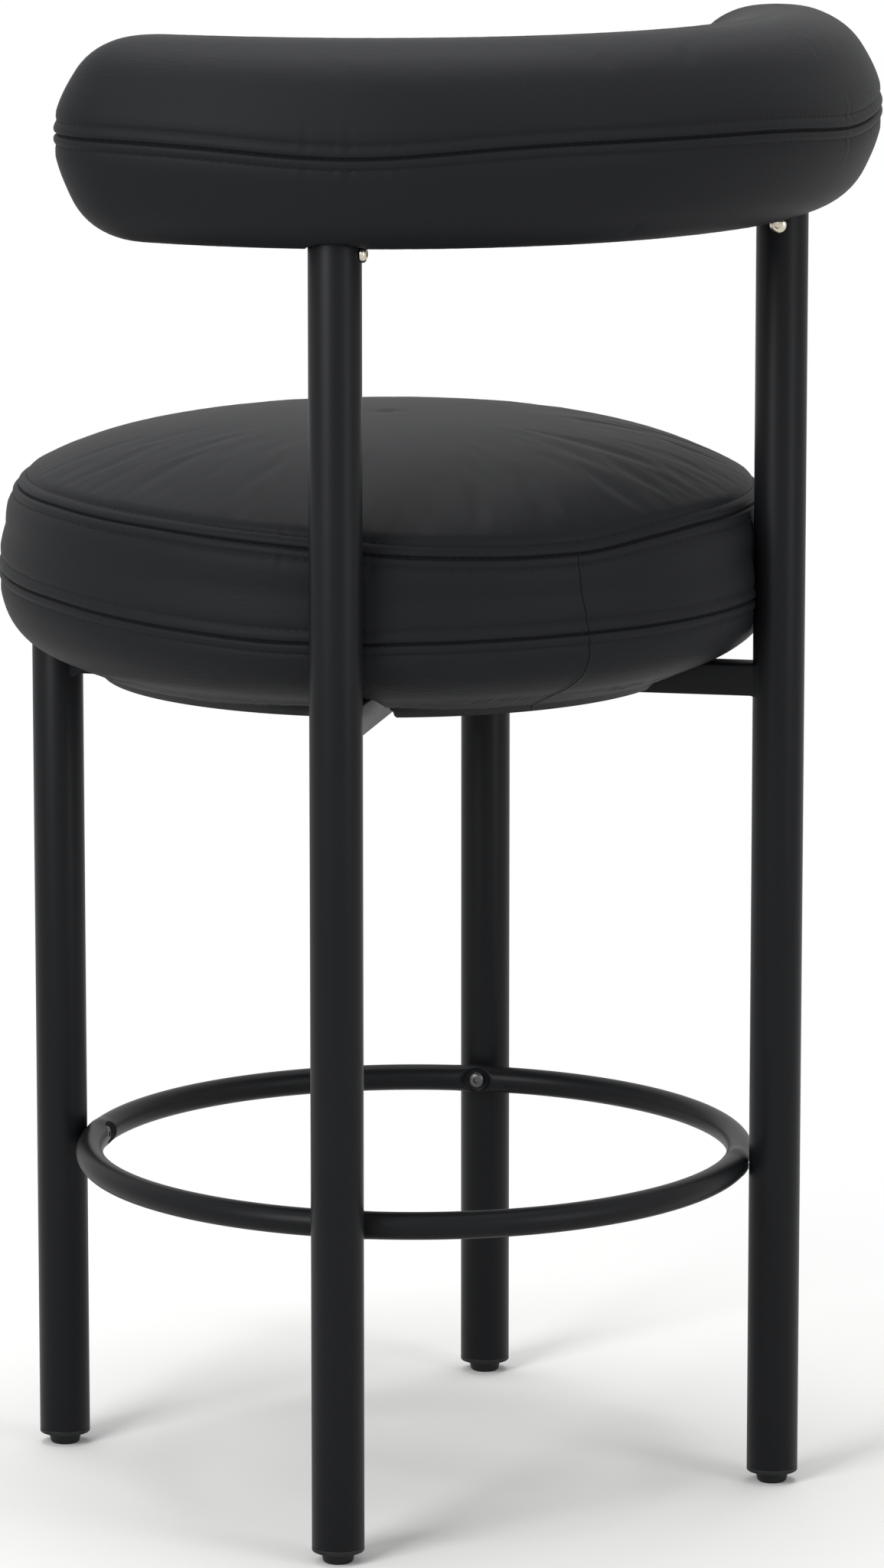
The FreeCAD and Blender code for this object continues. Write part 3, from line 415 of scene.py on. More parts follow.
def weld_fillet(piece, mesh, end, cope):
    """Flares one end of a bar along its own X: rings grow as a quarter circle, and follow the round of a leg."""
    side = math.copysign(1, end)
    last_out, last_along = 0, 0
    pick(mesh, piece, "edges", lambda middle: abs(middle.x - end) < 1e-5)
    for step in range(1, FILLET_STEPS + 1):
        turn = math.pi / 2 * step / FILLET_STEPS
        out, along = FILLET * (1 - math.cos(turn)), FILLET * math.sin(turn)
        growth = (BAR_HALF + out) / (BAR_HALF + last_out)
        bpy.ops.mesh.extrude_region_move(TRANSFORM_OT_translate={"value": (side * (along - last_along), 0, 0)})
        bpy.ops.transform.resize(value=(1, growth, growth))
        last_out, last_along = out, along
    bpy.ops.mesh.edge_face_add()
    if cope:
        for vertex in mesh.verts:
            if side * (vertex.co.x - end) > -1e-5:
                vertex.co.x += side * (cope - math.sqrt(cope ** 2 - vertex.co.y ** 2))


def square_bar(name, start, stop, angle, copes):
    """A square tube from start to stop on the line at that angle, its open ends flared into weld fillets."""
    length = stop - start - 2 * FILLET + WELD_BITE * 2
    deselect()
    bpy.ops.mesh.primitive_cube_add(size=1, scale=(length, 2 * BAR_HALF, 2 * BAR_HALF))
    bar = bpy.context.object
    bpy.ops.object.transform_apply(scale=True)
    mesh = edit(bar)
    pick(mesh, bar, "faces", lambda middle: abs(middle.x) > length / 2 - 1e-5)
    bpy.ops.mesh.delete(type="ONLY_FACE")
    pick(mesh, bar, "edges", lambda middle: abs(middle.x) < 1e-5)
    bpy.ops.mesh.bevel(offset=TUBE_CORNER, segments=4, affect="EDGES")
    mesh = bmesh.from_edit_mesh(bar.data)
    for end, cope in zip((-length / 2, length / 2), copes):
        weld_fillet(bar, mesh, end, cope)
    bar.location = Matrix.Rotation(angle, 3, "Z") @ Vector(((start + stop) / 2, 0, BAR_MIDDLE))
    bar.rotation_euler.z = angle
    close(bar, 40)
    return belongs(bar, name, POWDER, "frame_metal", "frame", name.replace("bar_", "crossbar_"))


low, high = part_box("crossbar_main")
BAR_HALF = (high.z - low.z) / 2
BAR_MIDDLE = (high.z + low.z) / 2
LEG_CIRCLE = leg_axes["rear_left"].length
FACE = LEG_CIRCLE - LEG_RADIUS
square_bar("bar_main", -FACE, FACE, math.radians(45), (LEG_RADIUS, LEG_RADIUS))
square_bar("bar_left", BAR_HALF, FACE, math.radians(-45), (0, LEG_RADIUS))
square_bar("bar_right", BAR_HALF, FACE, math.radians(135), (0, LEG_RADIUS))


# ---------------------------------------------------------------- footrest
# A 17 mm tube rolled to a ring and closed by a hidden weld. Inside each leg it is pinched to a round flat, and a
# black button-head screw with a hex socket holds it there. It has the same powder coat as the legs, though the real
# ring's coating is rubbed a little smoother.
PINCH_REACH = 0.0085
PINCH_SWELL = 0.10
DIMPLE_FLAT = 0.0062
DIMPLE_EASE = 0.0058
DIMPLE_REACH = 0.02
PINCH_DEPTH = 0.005
HEAD_HEIGHT = 0.0032
HEAD_DOME = math.radians(62)
SOCKET_DEPTH = 0.002
SOCKET_KEY = 0.004
SHANK_RADIUS = 0.003
RING_SCREW_LENGTH = 0.022
SCREW_BLACK = "0f1011"
SCREW_WIPED = "1a1a1b"


def black_oxide():
    """Black oxide on a machined steel screw: a deep brown-black metal with an oily, fairly sharp shine."""
    material, output = new_material("black_oxide_steel")
    tree = material.node_tree
    _, wipe, tone = mottle(tree, 900.0, 2.0, SCREW_BLACK, SCREW_WIPED)
    return surfaced(material, output, {"Base Color": tone, "Roughness": between(tree, wipe, 0.28, 0.42), "IOR": 1.9})


def socket_screw(name, radius, height, length):
    """A button-head screw on its own Z, its bearing face at 0: head, hex socket and plain shank."""
    deselect()
    bpy.ops.mesh.primitive_circle_add(vertices=48, radius=radius, fill_type="NGON")
    screw = bpy.context.object
    screw.name = name
    edit(screw)
    bpy.ops.mesh.select_all(action="SELECT")
    rim = height * 0.3
    bpy.ops.mesh.extrude_region_move(TRANSFORM_OT_translate={"value": (0, 0, rim)})
    last_width, last_rise = 1, 0
    for step in range(1, 7):
        turn = HEAD_DOME * step / 6
        width = 1 - 0.42 * (1 - math.cos(turn)) / (1 - math.cos(HEAD_DOME))
        rise = math.sin(turn) / math.sin(HEAD_DOME)
        bpy.ops.mesh.extrude_region_move(
            TRANSFORM_OT_translate={"value": (0, 0, (rise - last_rise) * (height - rim))})
        bpy.ops.transform.resize(value=(width / last_width, width / last_width, 1))
        last_width, last_rise = width, rise
    close(screw, 30)
    deselect()
    bpy.ops.mesh.primitive_cylinder_add(vertices=6, radius=SOCKET_KEY / math.sqrt(3), depth=2 * SOCKET_DEPTH,
                                        location=(0, 0, height))
    hexagon = bpy.context.object
    modify(screw, "BOOLEAN", object=hexagon, operation="DIFFERENCE", solver="EXACT")
    bpy.data.objects.remove(hexagon)
    deselect()
    bpy.ops.mesh.primitive_cylinder_add(vertices=32, radius=SHANK_RADIUS, depth=length, location=(0, 0, -length / 2))
    rod = bpy.context.object
    rod.select_set(True)
    screw.select_set(True)
    bpy.context.view_layer.objects.active = screw
    bpy.ops.object.join()
    bpy.ops.object.transform_apply(location=True, rotation=True, scale=True)
    bpy.ops.object.shade_smooth_by_angle(angle=math.radians(30))
    return screw


def fit_copy(pattern, place, facing):
    """A copy of a pattern piece with its own mesh, its Z turned to face a way, its place in its mesh."""
    turned = Vector(facing).to_track_quat("Z", "Y").to_matrix().to_4x4()
    copied = pattern.copy()
    copied.data = pattern.data.copy()
    scene.collection.objects.link(copied)
    copied.data.transform(Matrix.Translation(place) @ turned)
    return copied


def from_leg(spot):
    """How far a spot on the ring lies along it from the nearest leg, and how far it lies from the ring's axis."""
    return (math.atan2(spot.y, spot.x) % (math.pi / 2) - math.pi / 4) * RING_RADIUS, spot.xy.length


low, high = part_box("footrest_ring")
TUBE_HALF = (high.z - low.z) / 2
RING_HEIGHT = (high.z + low.z) / 2
RING_RADIUS = (high.x - low.x) / 2 - TUBE_HALF
screw_low, screw_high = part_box("footrest_screws")
HEAD_RADIUS = (screw_high.z - screw_low.z) / 2
FLAT = RING_RADIUS - TUBE_HALF + PINCH_DEPTH
deselect()
bpy.ops.mesh.primitive_torus_add(major_segments=240, minor_segments=40, major_radius=RING_RADIUS,
                                 minor_radius=TUBE_HALF, location=(0, 0, RING_HEIGHT))
ring = bpy.context.object
mesh = edit(ring)
pick(mesh, ring, "faces", lambda middle: abs(from_leg(middle)[0]) < DIMPLE_REACH - 0.001)
bpy.ops.mesh.subdivide(number_cuts=3, smoothness=1.0)
mesh = bmesh.from_edit_mesh(ring.data)
for vertex in mesh.verts:
    along, out = from_leg(vertex.co)
    near = math.exp(-(along / PINCH_REACH) ** 2)
    vertex.co.z *= 1 + PINCH_SWELL * near
    spread = math.hypot(along, vertex.co.z)
    if out < RING_RADIUS and spread < DIMPLE_REACH:
        # A round dimple: flat in the middle, its edge eased into the tube.
        ease = min(max((spread - DIMPLE_FLAT) / DIMPLE_EASE, 0), 1)
        floor_radius = FLAT - PINCH_DEPTH * 1.6 * ease ** 1.7
        if out < floor_radius:
            vertex.co.xy *= floor_radius / out
close(ring, 50)
belongs(ring, "ring_tube", POWDER, "frame_metal", "frame", "footrest_ring")

OXIDE = black_oxide()
pattern = socket_screw("screw_pattern", HEAD_RADIUS, HEAD_HEIGHT, RING_SCREW_LENGTH)
for corner in CORNERS:
    spoke = leg_axes[corner].normalized()
    screw = fit_copy(pattern, spoke * FLAT + Vector((0, 0, RING_HEIGHT)), -spoke)
    belongs(screw, "ring_screw_" + corner, OXIDE, "black_screws", "frame", "footrest_screws")
refinish(ZINC, "footrest_rivet_nuts")


# ---------------------------------------------------------------- seat board and fixings
# A 12 mm birch plywood disc carries the padding. Four screws come up through the crossbars into tee nuts, and a
# black spun-bonded dust cover hides the staples in the open middle of the underside.
PLY_THICKNESS = 0.0015
GRAIN_LENGTH = 0.12
GRAIN_WIDTH = 0.0025
BIRCH_GRAIN = "b98f5e"
BIRCH_PALE = "dcbd8f"
DOT_PITCH = 0.0028
FELT_BLACK = "0e0e0f"
FELT_FIBRE = "202122"


def birch_plywood():
    """Sanded birch plywood: pale straw faces with a fine long grain, and darker and lighter plies on the edge."""
    material, output = new_material("birch_plywood")
    tree = material.node_tree
    place = node(tree, "ShaderNodeTexCoord").outputs["Object"]
    grain_place = node(tree, "ShaderNodeMapping", {
        "Vector": place, "Scale": (1 / GRAIN_LENGTH, 1 / GRAIN_WIDTH, 1 / PLY_THICKNESS)})
    grain = node(tree, "ShaderNodeTexNoise", {"Vector": grain_place.outputs[0], "Scale": 1.0, "Detail": 5.0})
    tone = node(tree, "ShaderNodeMix", {0: grain.outputs["Fac"], 6: linear(BIRCH_GRAIN), 7: linear(BIRCH_PALE)},
                data_type="RGBA")
    return surfaced(material, output, {
        "Base Color": tone.outputs[2], "Roughness": 0.62,
        "Normal": raised(tree, grain.outputs["Fac"], 0.2, 0.0002)})


def spun_bonded():
    """Spun-bonded polypropylene: a thin matte black felt, thermally pressed in a grid of small dots."""
    material, output = new_material("black_spun_bonded_fabric")
    tree = material.node_tree
    place, fibre, tone = mottle(tree, 700.0, 4.0, FELT_BLACK, FELT_FIBRE)
    dots = node(tree, "ShaderNodeTexVoronoi", {"Vector": place, "Scale": 1 / DOT_PITCH, "Randomness": 0.1})
    pressed = node(tree, "ShaderNodeMapRange", {"Value": dots.outputs["Distance"], "From Max": 0.35})
    height = node(tree, "ShaderNodeMath", {0: pressed.outputs["Result"], 1: fibre}, operation="ADD")
    return surfaced(material, output, {
        "Base Color": tone, "Roughness": 0.9, "Sheen Weight": 0.3,
        "Normal": raised(tree, height.outputs[0], 0.5, 0.0003)})


refinish(birch_plywood(), "seat_board")
refinish(spun_bonded(), "seat_dust_cover")
refinish(ZINC, "seat_washers", "seat_tee_nuts")
refinish(NYLON, "leg_plug_front_left", "leg_plug_front_right")
low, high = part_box("seat_screws")
washer_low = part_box("seat_washers")[0].z
seat_pattern = socket_screw("seat_screw_pattern", HEAD_RADIUS, washer_low - low.z, high.z - washer_low)
for corner in CORNERS:
    place = leg_axes[corner].normalized() * SEAT_SCREW_REACH + Vector((0, 0, washer_low))
    screw = fit_copy(seat_pattern, place, (0, 0, -1))
    belongs(screw, "seat_screw_" + corner, OXIDE, "black_screws", "frame", "seat_screws")
for spare in (pattern, seat_pattern):
    bpy.data.objects.remove(spare)


# ---------------------------------------------------------------- seat cushion
# Moulded foam in a faux-leather cover of three panels: a top, a side band and a base that is stapled to the board.
# The panels meet in two seams with a row of topstitching on each side, and one seam at the back closes the band.
SEAT_BULGE = 0.0041
SEAT_SETBACK = 0.0012
SEAT_WIDEST = 0.575
SEAT_UPPER_POWERS = (3.8, 3.0)
SEAT_LOWER_POWERS = (4.4, 3.9)
RIM_RADIUS = 0.182
ROLL_RADIUS = 0.012
BOARD_GAP = 0.0001
UNDER_GAP = 0.0005
SIDE_GAP = 0.0006
POST_GAP = 0.0004
LIFT_DEPTH = 0.03
SEAT_COLUMNS = 810
BLOWN_COLUMNS = 162
TOP_ROWS, BAND_ROWS, BASE_ROWS = 31, 7, 22
SEAT_SWELL = 0.005
SPARE_SWELL = 0.0012
BLOWN_VOXEL = 0.0055
BLOWN_FRAMES = 20
HELD_TO = 0.010
FREE_FROM = 0.016
# Seam heights round the seat, from the closing seam at the back towards the left and on round: the cover was pulled
# on by hand, so both seams run lowest at the back, where the band was closed last.
SEAT_UPPER_SEAM = ((-180, 0.624), (-110, 0.620), (-55, 0.620), (-20, 0.6185), (-9, 0.6155), (2, 0.6105), (14, 0.6102),
                   (30, 0.6125), (50, 0.6185), (70, 0.623), (94, 0.626), (135, 0.626), (180, 0.624))
SEAT_LOWER_SEAM = ((-180, 0.568), (-110, 0.564), (-31, 0.563), (3, 0.5625), (37, 0.5605), (51, 0.561), (71, 0.566),
                   (90, 0.571), (121, 0.574), (180, 0.568))
CLOSING_SEAM = 3.6
CLOSING_SWAY = 0.9
STITCH_PITCH = 0.0055
STITCH_LENGTH = 0.0041
THREAD_RADIUS = 0.0005
THREAD_SIDES = 6
TOPSTITCH_ABOVE = -0.0081
TOPSTITCH_BELOW = 0.0067
VALLEY_DEPTH, VALLEY_WIDTH = 0.0020, 0.0008
LIP_RISE, LIP_PLACE, LIP_WIDTH = 0.0008, 0.0034, 0.0024
HOLLOW_DEPTH, HOLLOW_WIDTH = 0.0007, 0.0010
NEEDLE_DEPTH, NEEDLE_WIDTH = 0.00035, 0.0009
PANEL_RISE, PANEL_FROM = 0.0009, 0.02
CLOSING_DEPTH, CLOSING_WIDTH = 0.0018, 0.0009
# Puckers across the upper seam: where round the seat, in degrees from the back, and how deep.
SEAT_PUCKERS = ((2.2, 0.0002), (30, 0.0002), (36, 0.00025), (49, 0.0004), (-14, 0.00012), (84, 0.0001))
PUCKER_SPREAD = 0.008
SEAM_ROWS = np.array([-16, -13.5, -11.5, -10, -9, -8.1, -7.3, -6.3, -5.2, -4.2, -3.2, -2.4, -1.7, -1.1, -0.6, -0.25, 0,
                      0.25, 0.6, 1.1, 1.7, 2.4, 3.2, 4.2, 5.2, 6.1, 6.7, 7.4, 8.4, 10, 11.5, 13.5, 16]) / 1000
LEATHER_DARK = "141517"
LEATHER_LIGHT = "1a1b1d"
THREAD_DARK = "060607"
THREAD_LIGHT = "121213"
PEBBLE = 0.0013
CREASE_LENGTH = 0.013
CREASE_WIDTH = 0.0017


def faux_leather():
    """Embossed polyurethane leather: satin black with a fine pebble grain, and creases along the tight side panels.
    The real grain is about 0.7 mm across; it is drawn at 1.3 mm so that it still shows from a few metres."""
    material, output = new_material("black_faux_leather")
    tree = material.node_tree
    skin, patch, tone = mottle(tree, 9.0, 4.0, LEATHER_DARK, LEATHER_LIGHT)
    pebble = node(tree, "ShaderNodeTexVoronoi", {"Vector": skin, "Scale": 1 / PEBBLE, "Smoothness": 0.4},
                  feature="SMOOTH_F1")
    seam_lengths = node(tree, "ShaderNodeTexCoord").outputs["UV"]
    stretched = node(tree, "ShaderNodeMapping",
                     {"Vector": seam_lengths, "Scale": (1 / CREASE_LENGTH, 1 / CREASE_WIDTH, 1)})
    crease = node(tree, "ShaderNodeTexNoise", {"Vector": stretched.outputs[0], "Scale": 1.0, "Detail": 2.0,
                                               "Roughness": 0.4, "Distortion": 0.6})
    tight = node(tree, "ShaderNodeAttribute", attribute_name="creasing")
    calm = node(tree, "ShaderNodeMapRange", {"Value": patch, "From Min": 0.42, "From Max": 0.62})
    amount = node(tree, "ShaderNodeMath", {0: tight.outputs["Fac"], 1: calm.outputs["Result"]}, operation="MULTIPLY")
    creases = node(tree, "ShaderNodeMath", {0: crease.outputs["Fac"], 1: amount.outputs[0]}, operation="MULTIPLY")
    bump = node(tree, "ShaderNodeBump", {"Height": creases.outputs[0], "Strength": 0.6, "Distance": 0.0006,
                                         "Normal": raised(tree, pebble.outputs["Distance"], 0.22, 0.0003)})
    return surfaced(material, output, {
        "Base Color": tone, "Roughness": between(tree, patch, 0.54, 0.62), "IOR": 1.5, "Specular IOR Level": 0.1,
        "Normal": bump.outputs["Normal"]})


def sewing_thread():
    """Bonded polyester thread: dull black, twisted, a touch darker than the leather."""
    material, output = new_material("black_bonded_thread")
    tree = material.node_tree
    _, ply, tone = mottle(tree, 1600.0, 2.0, THREAD_DARK, THREAD_LIGHT)
    return surfaced(material, output, {
        "Base Color": tone, "Roughness": 0.7, "Specular IOR Level": 0.2, "Normal": raised(tree, ply, 0.4, 0.0001)})


def smooth_between(angles, table):
    """Heights at some angles, eased through a closed table of (degrees, height)."""
    knots = np.array(table)
    steps = np.linspace(-180, 180, 721)
    heights = np.interp(steps, knots[:, 0], knots[:, 1])
    width = 9
    window = np.hanning(2 * width + 1)
    padded = np.concatenate([heights[-width - 1:-1], heights, heights[1:width + 1]])
    eased = np.convolve(padded, window / window.sum(), mode="valid")
    return np.interp((angles + 180) % 360 - 180, steps, eased)


def along_rows(points):
    """Length along each column of a grid of points, from its first row."""
    steps = np.linalg.norm(np.diff(points, axis=0), axis=2)
    return np.concatenate([np.zeros((1, points.shape[1])), np.cumsum(steps, axis=0)])


def outward(points):
    """Unit normals of a grid whose columns close into a loop."""
    down = np.gradient(points, axis=0)
    wrapped = np.concatenate([points[:, -1:], points, points[:, :1]], axis=1)
    across = (wrapped[:, 2:] - wrapped[:, :-2]) / 2
    normals = np.cross(across, down)
    lengths = np.linalg.norm(normals, axis=2, keepdims=True)
    return normals / np.maximum(lengths, 1e-12)


def ease_in(share):
    """A share from 0 to 1, eased at both ends."""
    return share * share * (3 - 2 * share)


def hump(at, middle, width):
    """A bell curve, 1 at its middle."""
    return np.exp(-((at - middle) / width) ** 2)


def seam_relief(off):
    """How far the cover stands out at a distance from a seam: a valley, two rounded lips, and stitched hollows."""
    size = np.abs(off)
    valley = -VALLEY_DEPTH * hump(off, 0, VALLEY_WIDTH)
    lips = LIP_RISE * hump(size, LIP_PLACE, LIP_WIDTH)
    hollows = -HOLLOW_DEPTH * (hump(off, TOPSTITCH_ABOVE, HOLLOW_WIDTH) + hump(off, TOPSTITCH_BELOW, HOLLOW_WIDTH))
    pillow = PANEL_RISE * np.clip((size - 0.0075) / 0.006, 0, 1)
    return valley + lips + hollows + pillow


def needle_dips(off, run):
    """Small dips where the needle went through, one per stitch, along both rows of topstitching."""
    pulse = np.cos(np.pi * run / STITCH_PITCH) ** 8
    rows = hump(off, TOPSTITCH_ABOVE, NEEDLE_WIDTH) + hump(off, TOPSTITCH_BELOW, NEEDLE_WIDTH)
    return -NEEDLE_DEPTH * pulse * rows


def sewn_mesh(name, points, runs, drops, creasing):
    """A closed mesh from a grid of points whose columns form a loop. Points that coincide are welded into one."""
    rows, columns = points.shape[:2]
    flat = points.reshape(-1, 3)
    _, first, index = np.unique(np.round(flat * 2e6).astype(np.int64), axis=0, return_index=True,
                                return_inverse=True)
    index = index.reshape(rows, columns)
    faces, corners = [], []
    loop_length = runs[-1] + (runs[-1] - runs[-2])
    for row in range(rows - 1):
        for column in range(columns):
            after = (column + 1) % columns
            run = loop_length if after == 0 else runs[after]
            ring = ((index[row, column], runs[column], drops[row, column]),
                    (index[row, after], run, drops[row, after]),
                    (index[row + 1, after], run, drops[row + 1, after]),
                    (index[row + 1, column], runs[column], drops[row + 1, column]))
            kept = [corner for place, corner in enumerate(ring) if corner[0] != ring[place - 1][0]]
            if len(kept) > 2 and len({corner[0] for corner in kept}) == len(kept):
                faces.append([corner[0] for corner in kept])
                corners += [value for corner in kept for value in corner[1:]]
    mesh = bpy.data.meshes.new(name)
    mesh.from_pydata(flat[first].tolist(), [], faces)
    mesh.uv_layers.new(name="seam_lengths").data.foreach_set("uv", corners)
    mesh.attributes.new("creasing", "FLOAT", "POINT").data.foreach_set("value", creasing.reshape(-1)[first])
    mesh.shade_smooth()
    piece = bpy.data.objects.new(name, mesh)
    scene.collection.objects.link(piece)
    return piece


def swelling(name, points, held, most):
    """Blows a sewn form up with a cloth simulation, its seams held, and gives each point's way out, capped."""
    runs = np.arange(points.shape[1], dtype=float)
    form = sewn_mesh(name, points, runs, np.zeros(points.shape[:2]), np.zeros(points.shape[:2]))
    modify(form, "REMESH", mode="VOXEL", voxel_size=BLOWN_VOXEL)
    count = len(form.data.vertices)
    rest = np.empty(count * 3)
    form.data.vertices.foreach_get("co", rest)
    rest = rest.reshape(-1, 3)
    seams = KDTree(len(held))
    for number, spot in enumerate(held):
        seams.insert(spot, number)
    seams.balance()
    group = form.vertex_groups.new(name="sewn")
    for number, spot in enumerate(rest):
        gap = seams.find(spot)[2]
        if gap < FREE_FROM:
            group.add([number], min((FREE_FROM - gap) / (FREE_FROM - HELD_TO), 1.0), "REPLACE")
    cloth = form.modifiers.new("cloth", "CLOTH")
    cloth.settings.quality = 6
    cloth.settings.mass = 0.3
    cloth.settings.tension_stiffness = 18
    cloth.settings.compression_stiffness = 12
    cloth.settings.bending_stiffness = 0.8
    cloth.settings.use_pressure = True
    cloth.settings.uniform_pressure_force = 4
    cloth.settings.vertex_group_mass = "sewn"
    cloth.settings.effector_weights.gravity = 0
    cloth.point_cache.frame_start = 1
    cloth.point_cache.frame_end = BLOWN_FRAMES
    for moment in range(1, BLOWN_FRAMES + 1):
        scene.frame_set(moment)
    blown = form.evaluated_get(bpy.context.evaluated_depsgraph_get()).to_mesh()
    after = np.empty(count * 3)
    blown.vertices.foreach_get("co", after)
    moves = after.reshape(-1, 3) - rest
    bpy.data.objects.remove(form)
    scene.frame_set(1)
    sizes = np.linalg.norm(moves, axis=1, keepdims=True)
    return rest, moves * np.minimum(1, most / np.maximum(sizes, 1e-9))


def carried(points, swell):
    """Each point's share of a swelling, from the four nearest points of the blown form."""
    rest, moves = swell
    near = KDTree(len(rest))
    for number, spot in enumerate(rest):
        near.insert(spot, number)
    near.balance()
    flat = points.reshape(-1, 3)
    out = np.empty_like(flat)
    for number, spot in enumerate(flat):
        found = near.find_n(spot, 4)
        weights = np.array([1 / (hit[2] + 0.001) for hit in found])
        out[number] = (weights[:, None] * moves[[hit[1] for hit in found]]).sum(0) / weights.sum()
    return out.reshape(points.shape)


def stitches(name, lines, lifts, share=STITCH_LENGTH / STITCH_PITCH):
    """One mesh of short six-sided stitches along closed or open lines of points, each set into the leather."""
    verts, faces = [], []
    ring = [(math.cos(turn), math.sin(turn)) for turn in np.linspace(0, 2 * math.pi, THREAD_SIDES + 1)[:-1]]
    stations = ((0.0, 0.35), (0.12, 0.9), (0.5, 1.0), (0.88, 0.9), (1.0, 0.35))
    for line, up in zip(lines, lifts):
        lengths = np.concatenate([[0], np.cumsum(np.linalg.norm(np.diff(line, axis=0), axis=1))])
        total = int(lengths[-1] / STITCH_PITCH)
        pitch = lengths[-1] / total
        for number in range(total):
            start = (number + (1 - share) / 2) * pitch
            base = len(verts)
            ends = [np.array([np.interp(s, lengths, line[:, k]) for k in range(3)]) for s in
                    (start, start + share * pitch)]
            normal = np.array([np.interp(start, lengths, up[:, k]) for k in range(3)])
            way = (ends[1] - ends[0]) / np.linalg.norm(ends[1] - ends[0])
            side = np.cross(way, normal)
            side /= np.linalg.norm(side)
            lift = np.cross(side, way)
            for share_along, width in stations:
                sink = 0.0003 * (2 * share_along - 1) ** 2
                centre = ends[0] + (ends[1] - ends[0]) * share_along + lift * (0.0001 - sink)
                for across, over in ring:
                    verts.append(centre + (side * across * 1.1 + lift * over * 0.8) * width * THREAD_RADIUS)
            last = base + (len(stations) - 1) * THREAD_SIDES
            for low_ring in range(base, last, THREAD_SIDES):
                high_ring = low_ring + THREAD_SIDES
                for k in range(THREAD_SIDES):
                    after = (k + 1) % THREAD_SIDES
                    faces.append((low_ring + k, low_ring + after, high_ring + after, high_ring + k))
            faces.append(tuple(base + k for k in reversed(range(THREAD_SIDES))))
            faces.append(tuple(last + k for k in range(THREAD_SIDES)))
    mesh = bpy.data.meshes.new(name)
    mesh.from_pydata([tuple(vert) for vert in verts], [], faces)
    piece = bpy.data.objects.new(name, mesh)
    scene.collection.objects.link(piece)
    edit(piece)
    close(piece, 60)
    return piece


def closed(line):
    """A loop of points with its first point repeated at the end."""
    return np.concatenate([line, line[:1]])


band_low, band_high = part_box("seat_cover_band")
seat_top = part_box("seat_cover_top")[1].z
seat_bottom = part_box("seat_cover_base")[0].z
board_low, board_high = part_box("seat_board")
board_radius = (board_high.x - board_low.x) / 2
seat_x = (band_low.x + band_high.x) / 2
seat_y = (band_low.y + band_high.y) / 2 + SEAT_SETBACK
seat_radius = (band_high.x - band_low.x) / 2 + SEAT_BULGE


def quarter(radius, rise, powers, count=400):
    """A quarter of a superellipse, from its top to its widest: radius and height above or below the widest line."""
    turn = np.linspace(math.pi / 2, 0, count)
    return radius * np.cos(turn) ** (2 / powers[0]), rise * np.sin(turn) ** (2 / powers[1])


def seat_profile():
    """Radius and height down the seat's outside, from the middle of its top to the lowest line of its rim."""
    upper_r, upper_z = quarter(seat_radius, seat_top - SEAT_WIDEST, SEAT_UPPER_POWERS)
    lower_r, lower_z = quarter(seat_radius, SEAT_WIDEST - seat_bottom, SEAT_LOWER_POWERS)
    lower_r, lower_z = lower_r[::-1][1:], -lower_z[::-1][1:]
    kept = lower_r > RIM_RADIUS
    return (np.concatenate([[0], upper_r[1:], lower_r[kept]]),
            SEAT_WIDEST + np.concatenate([[upper_z[0]], upper_z[1:], lower_z[kept]]))


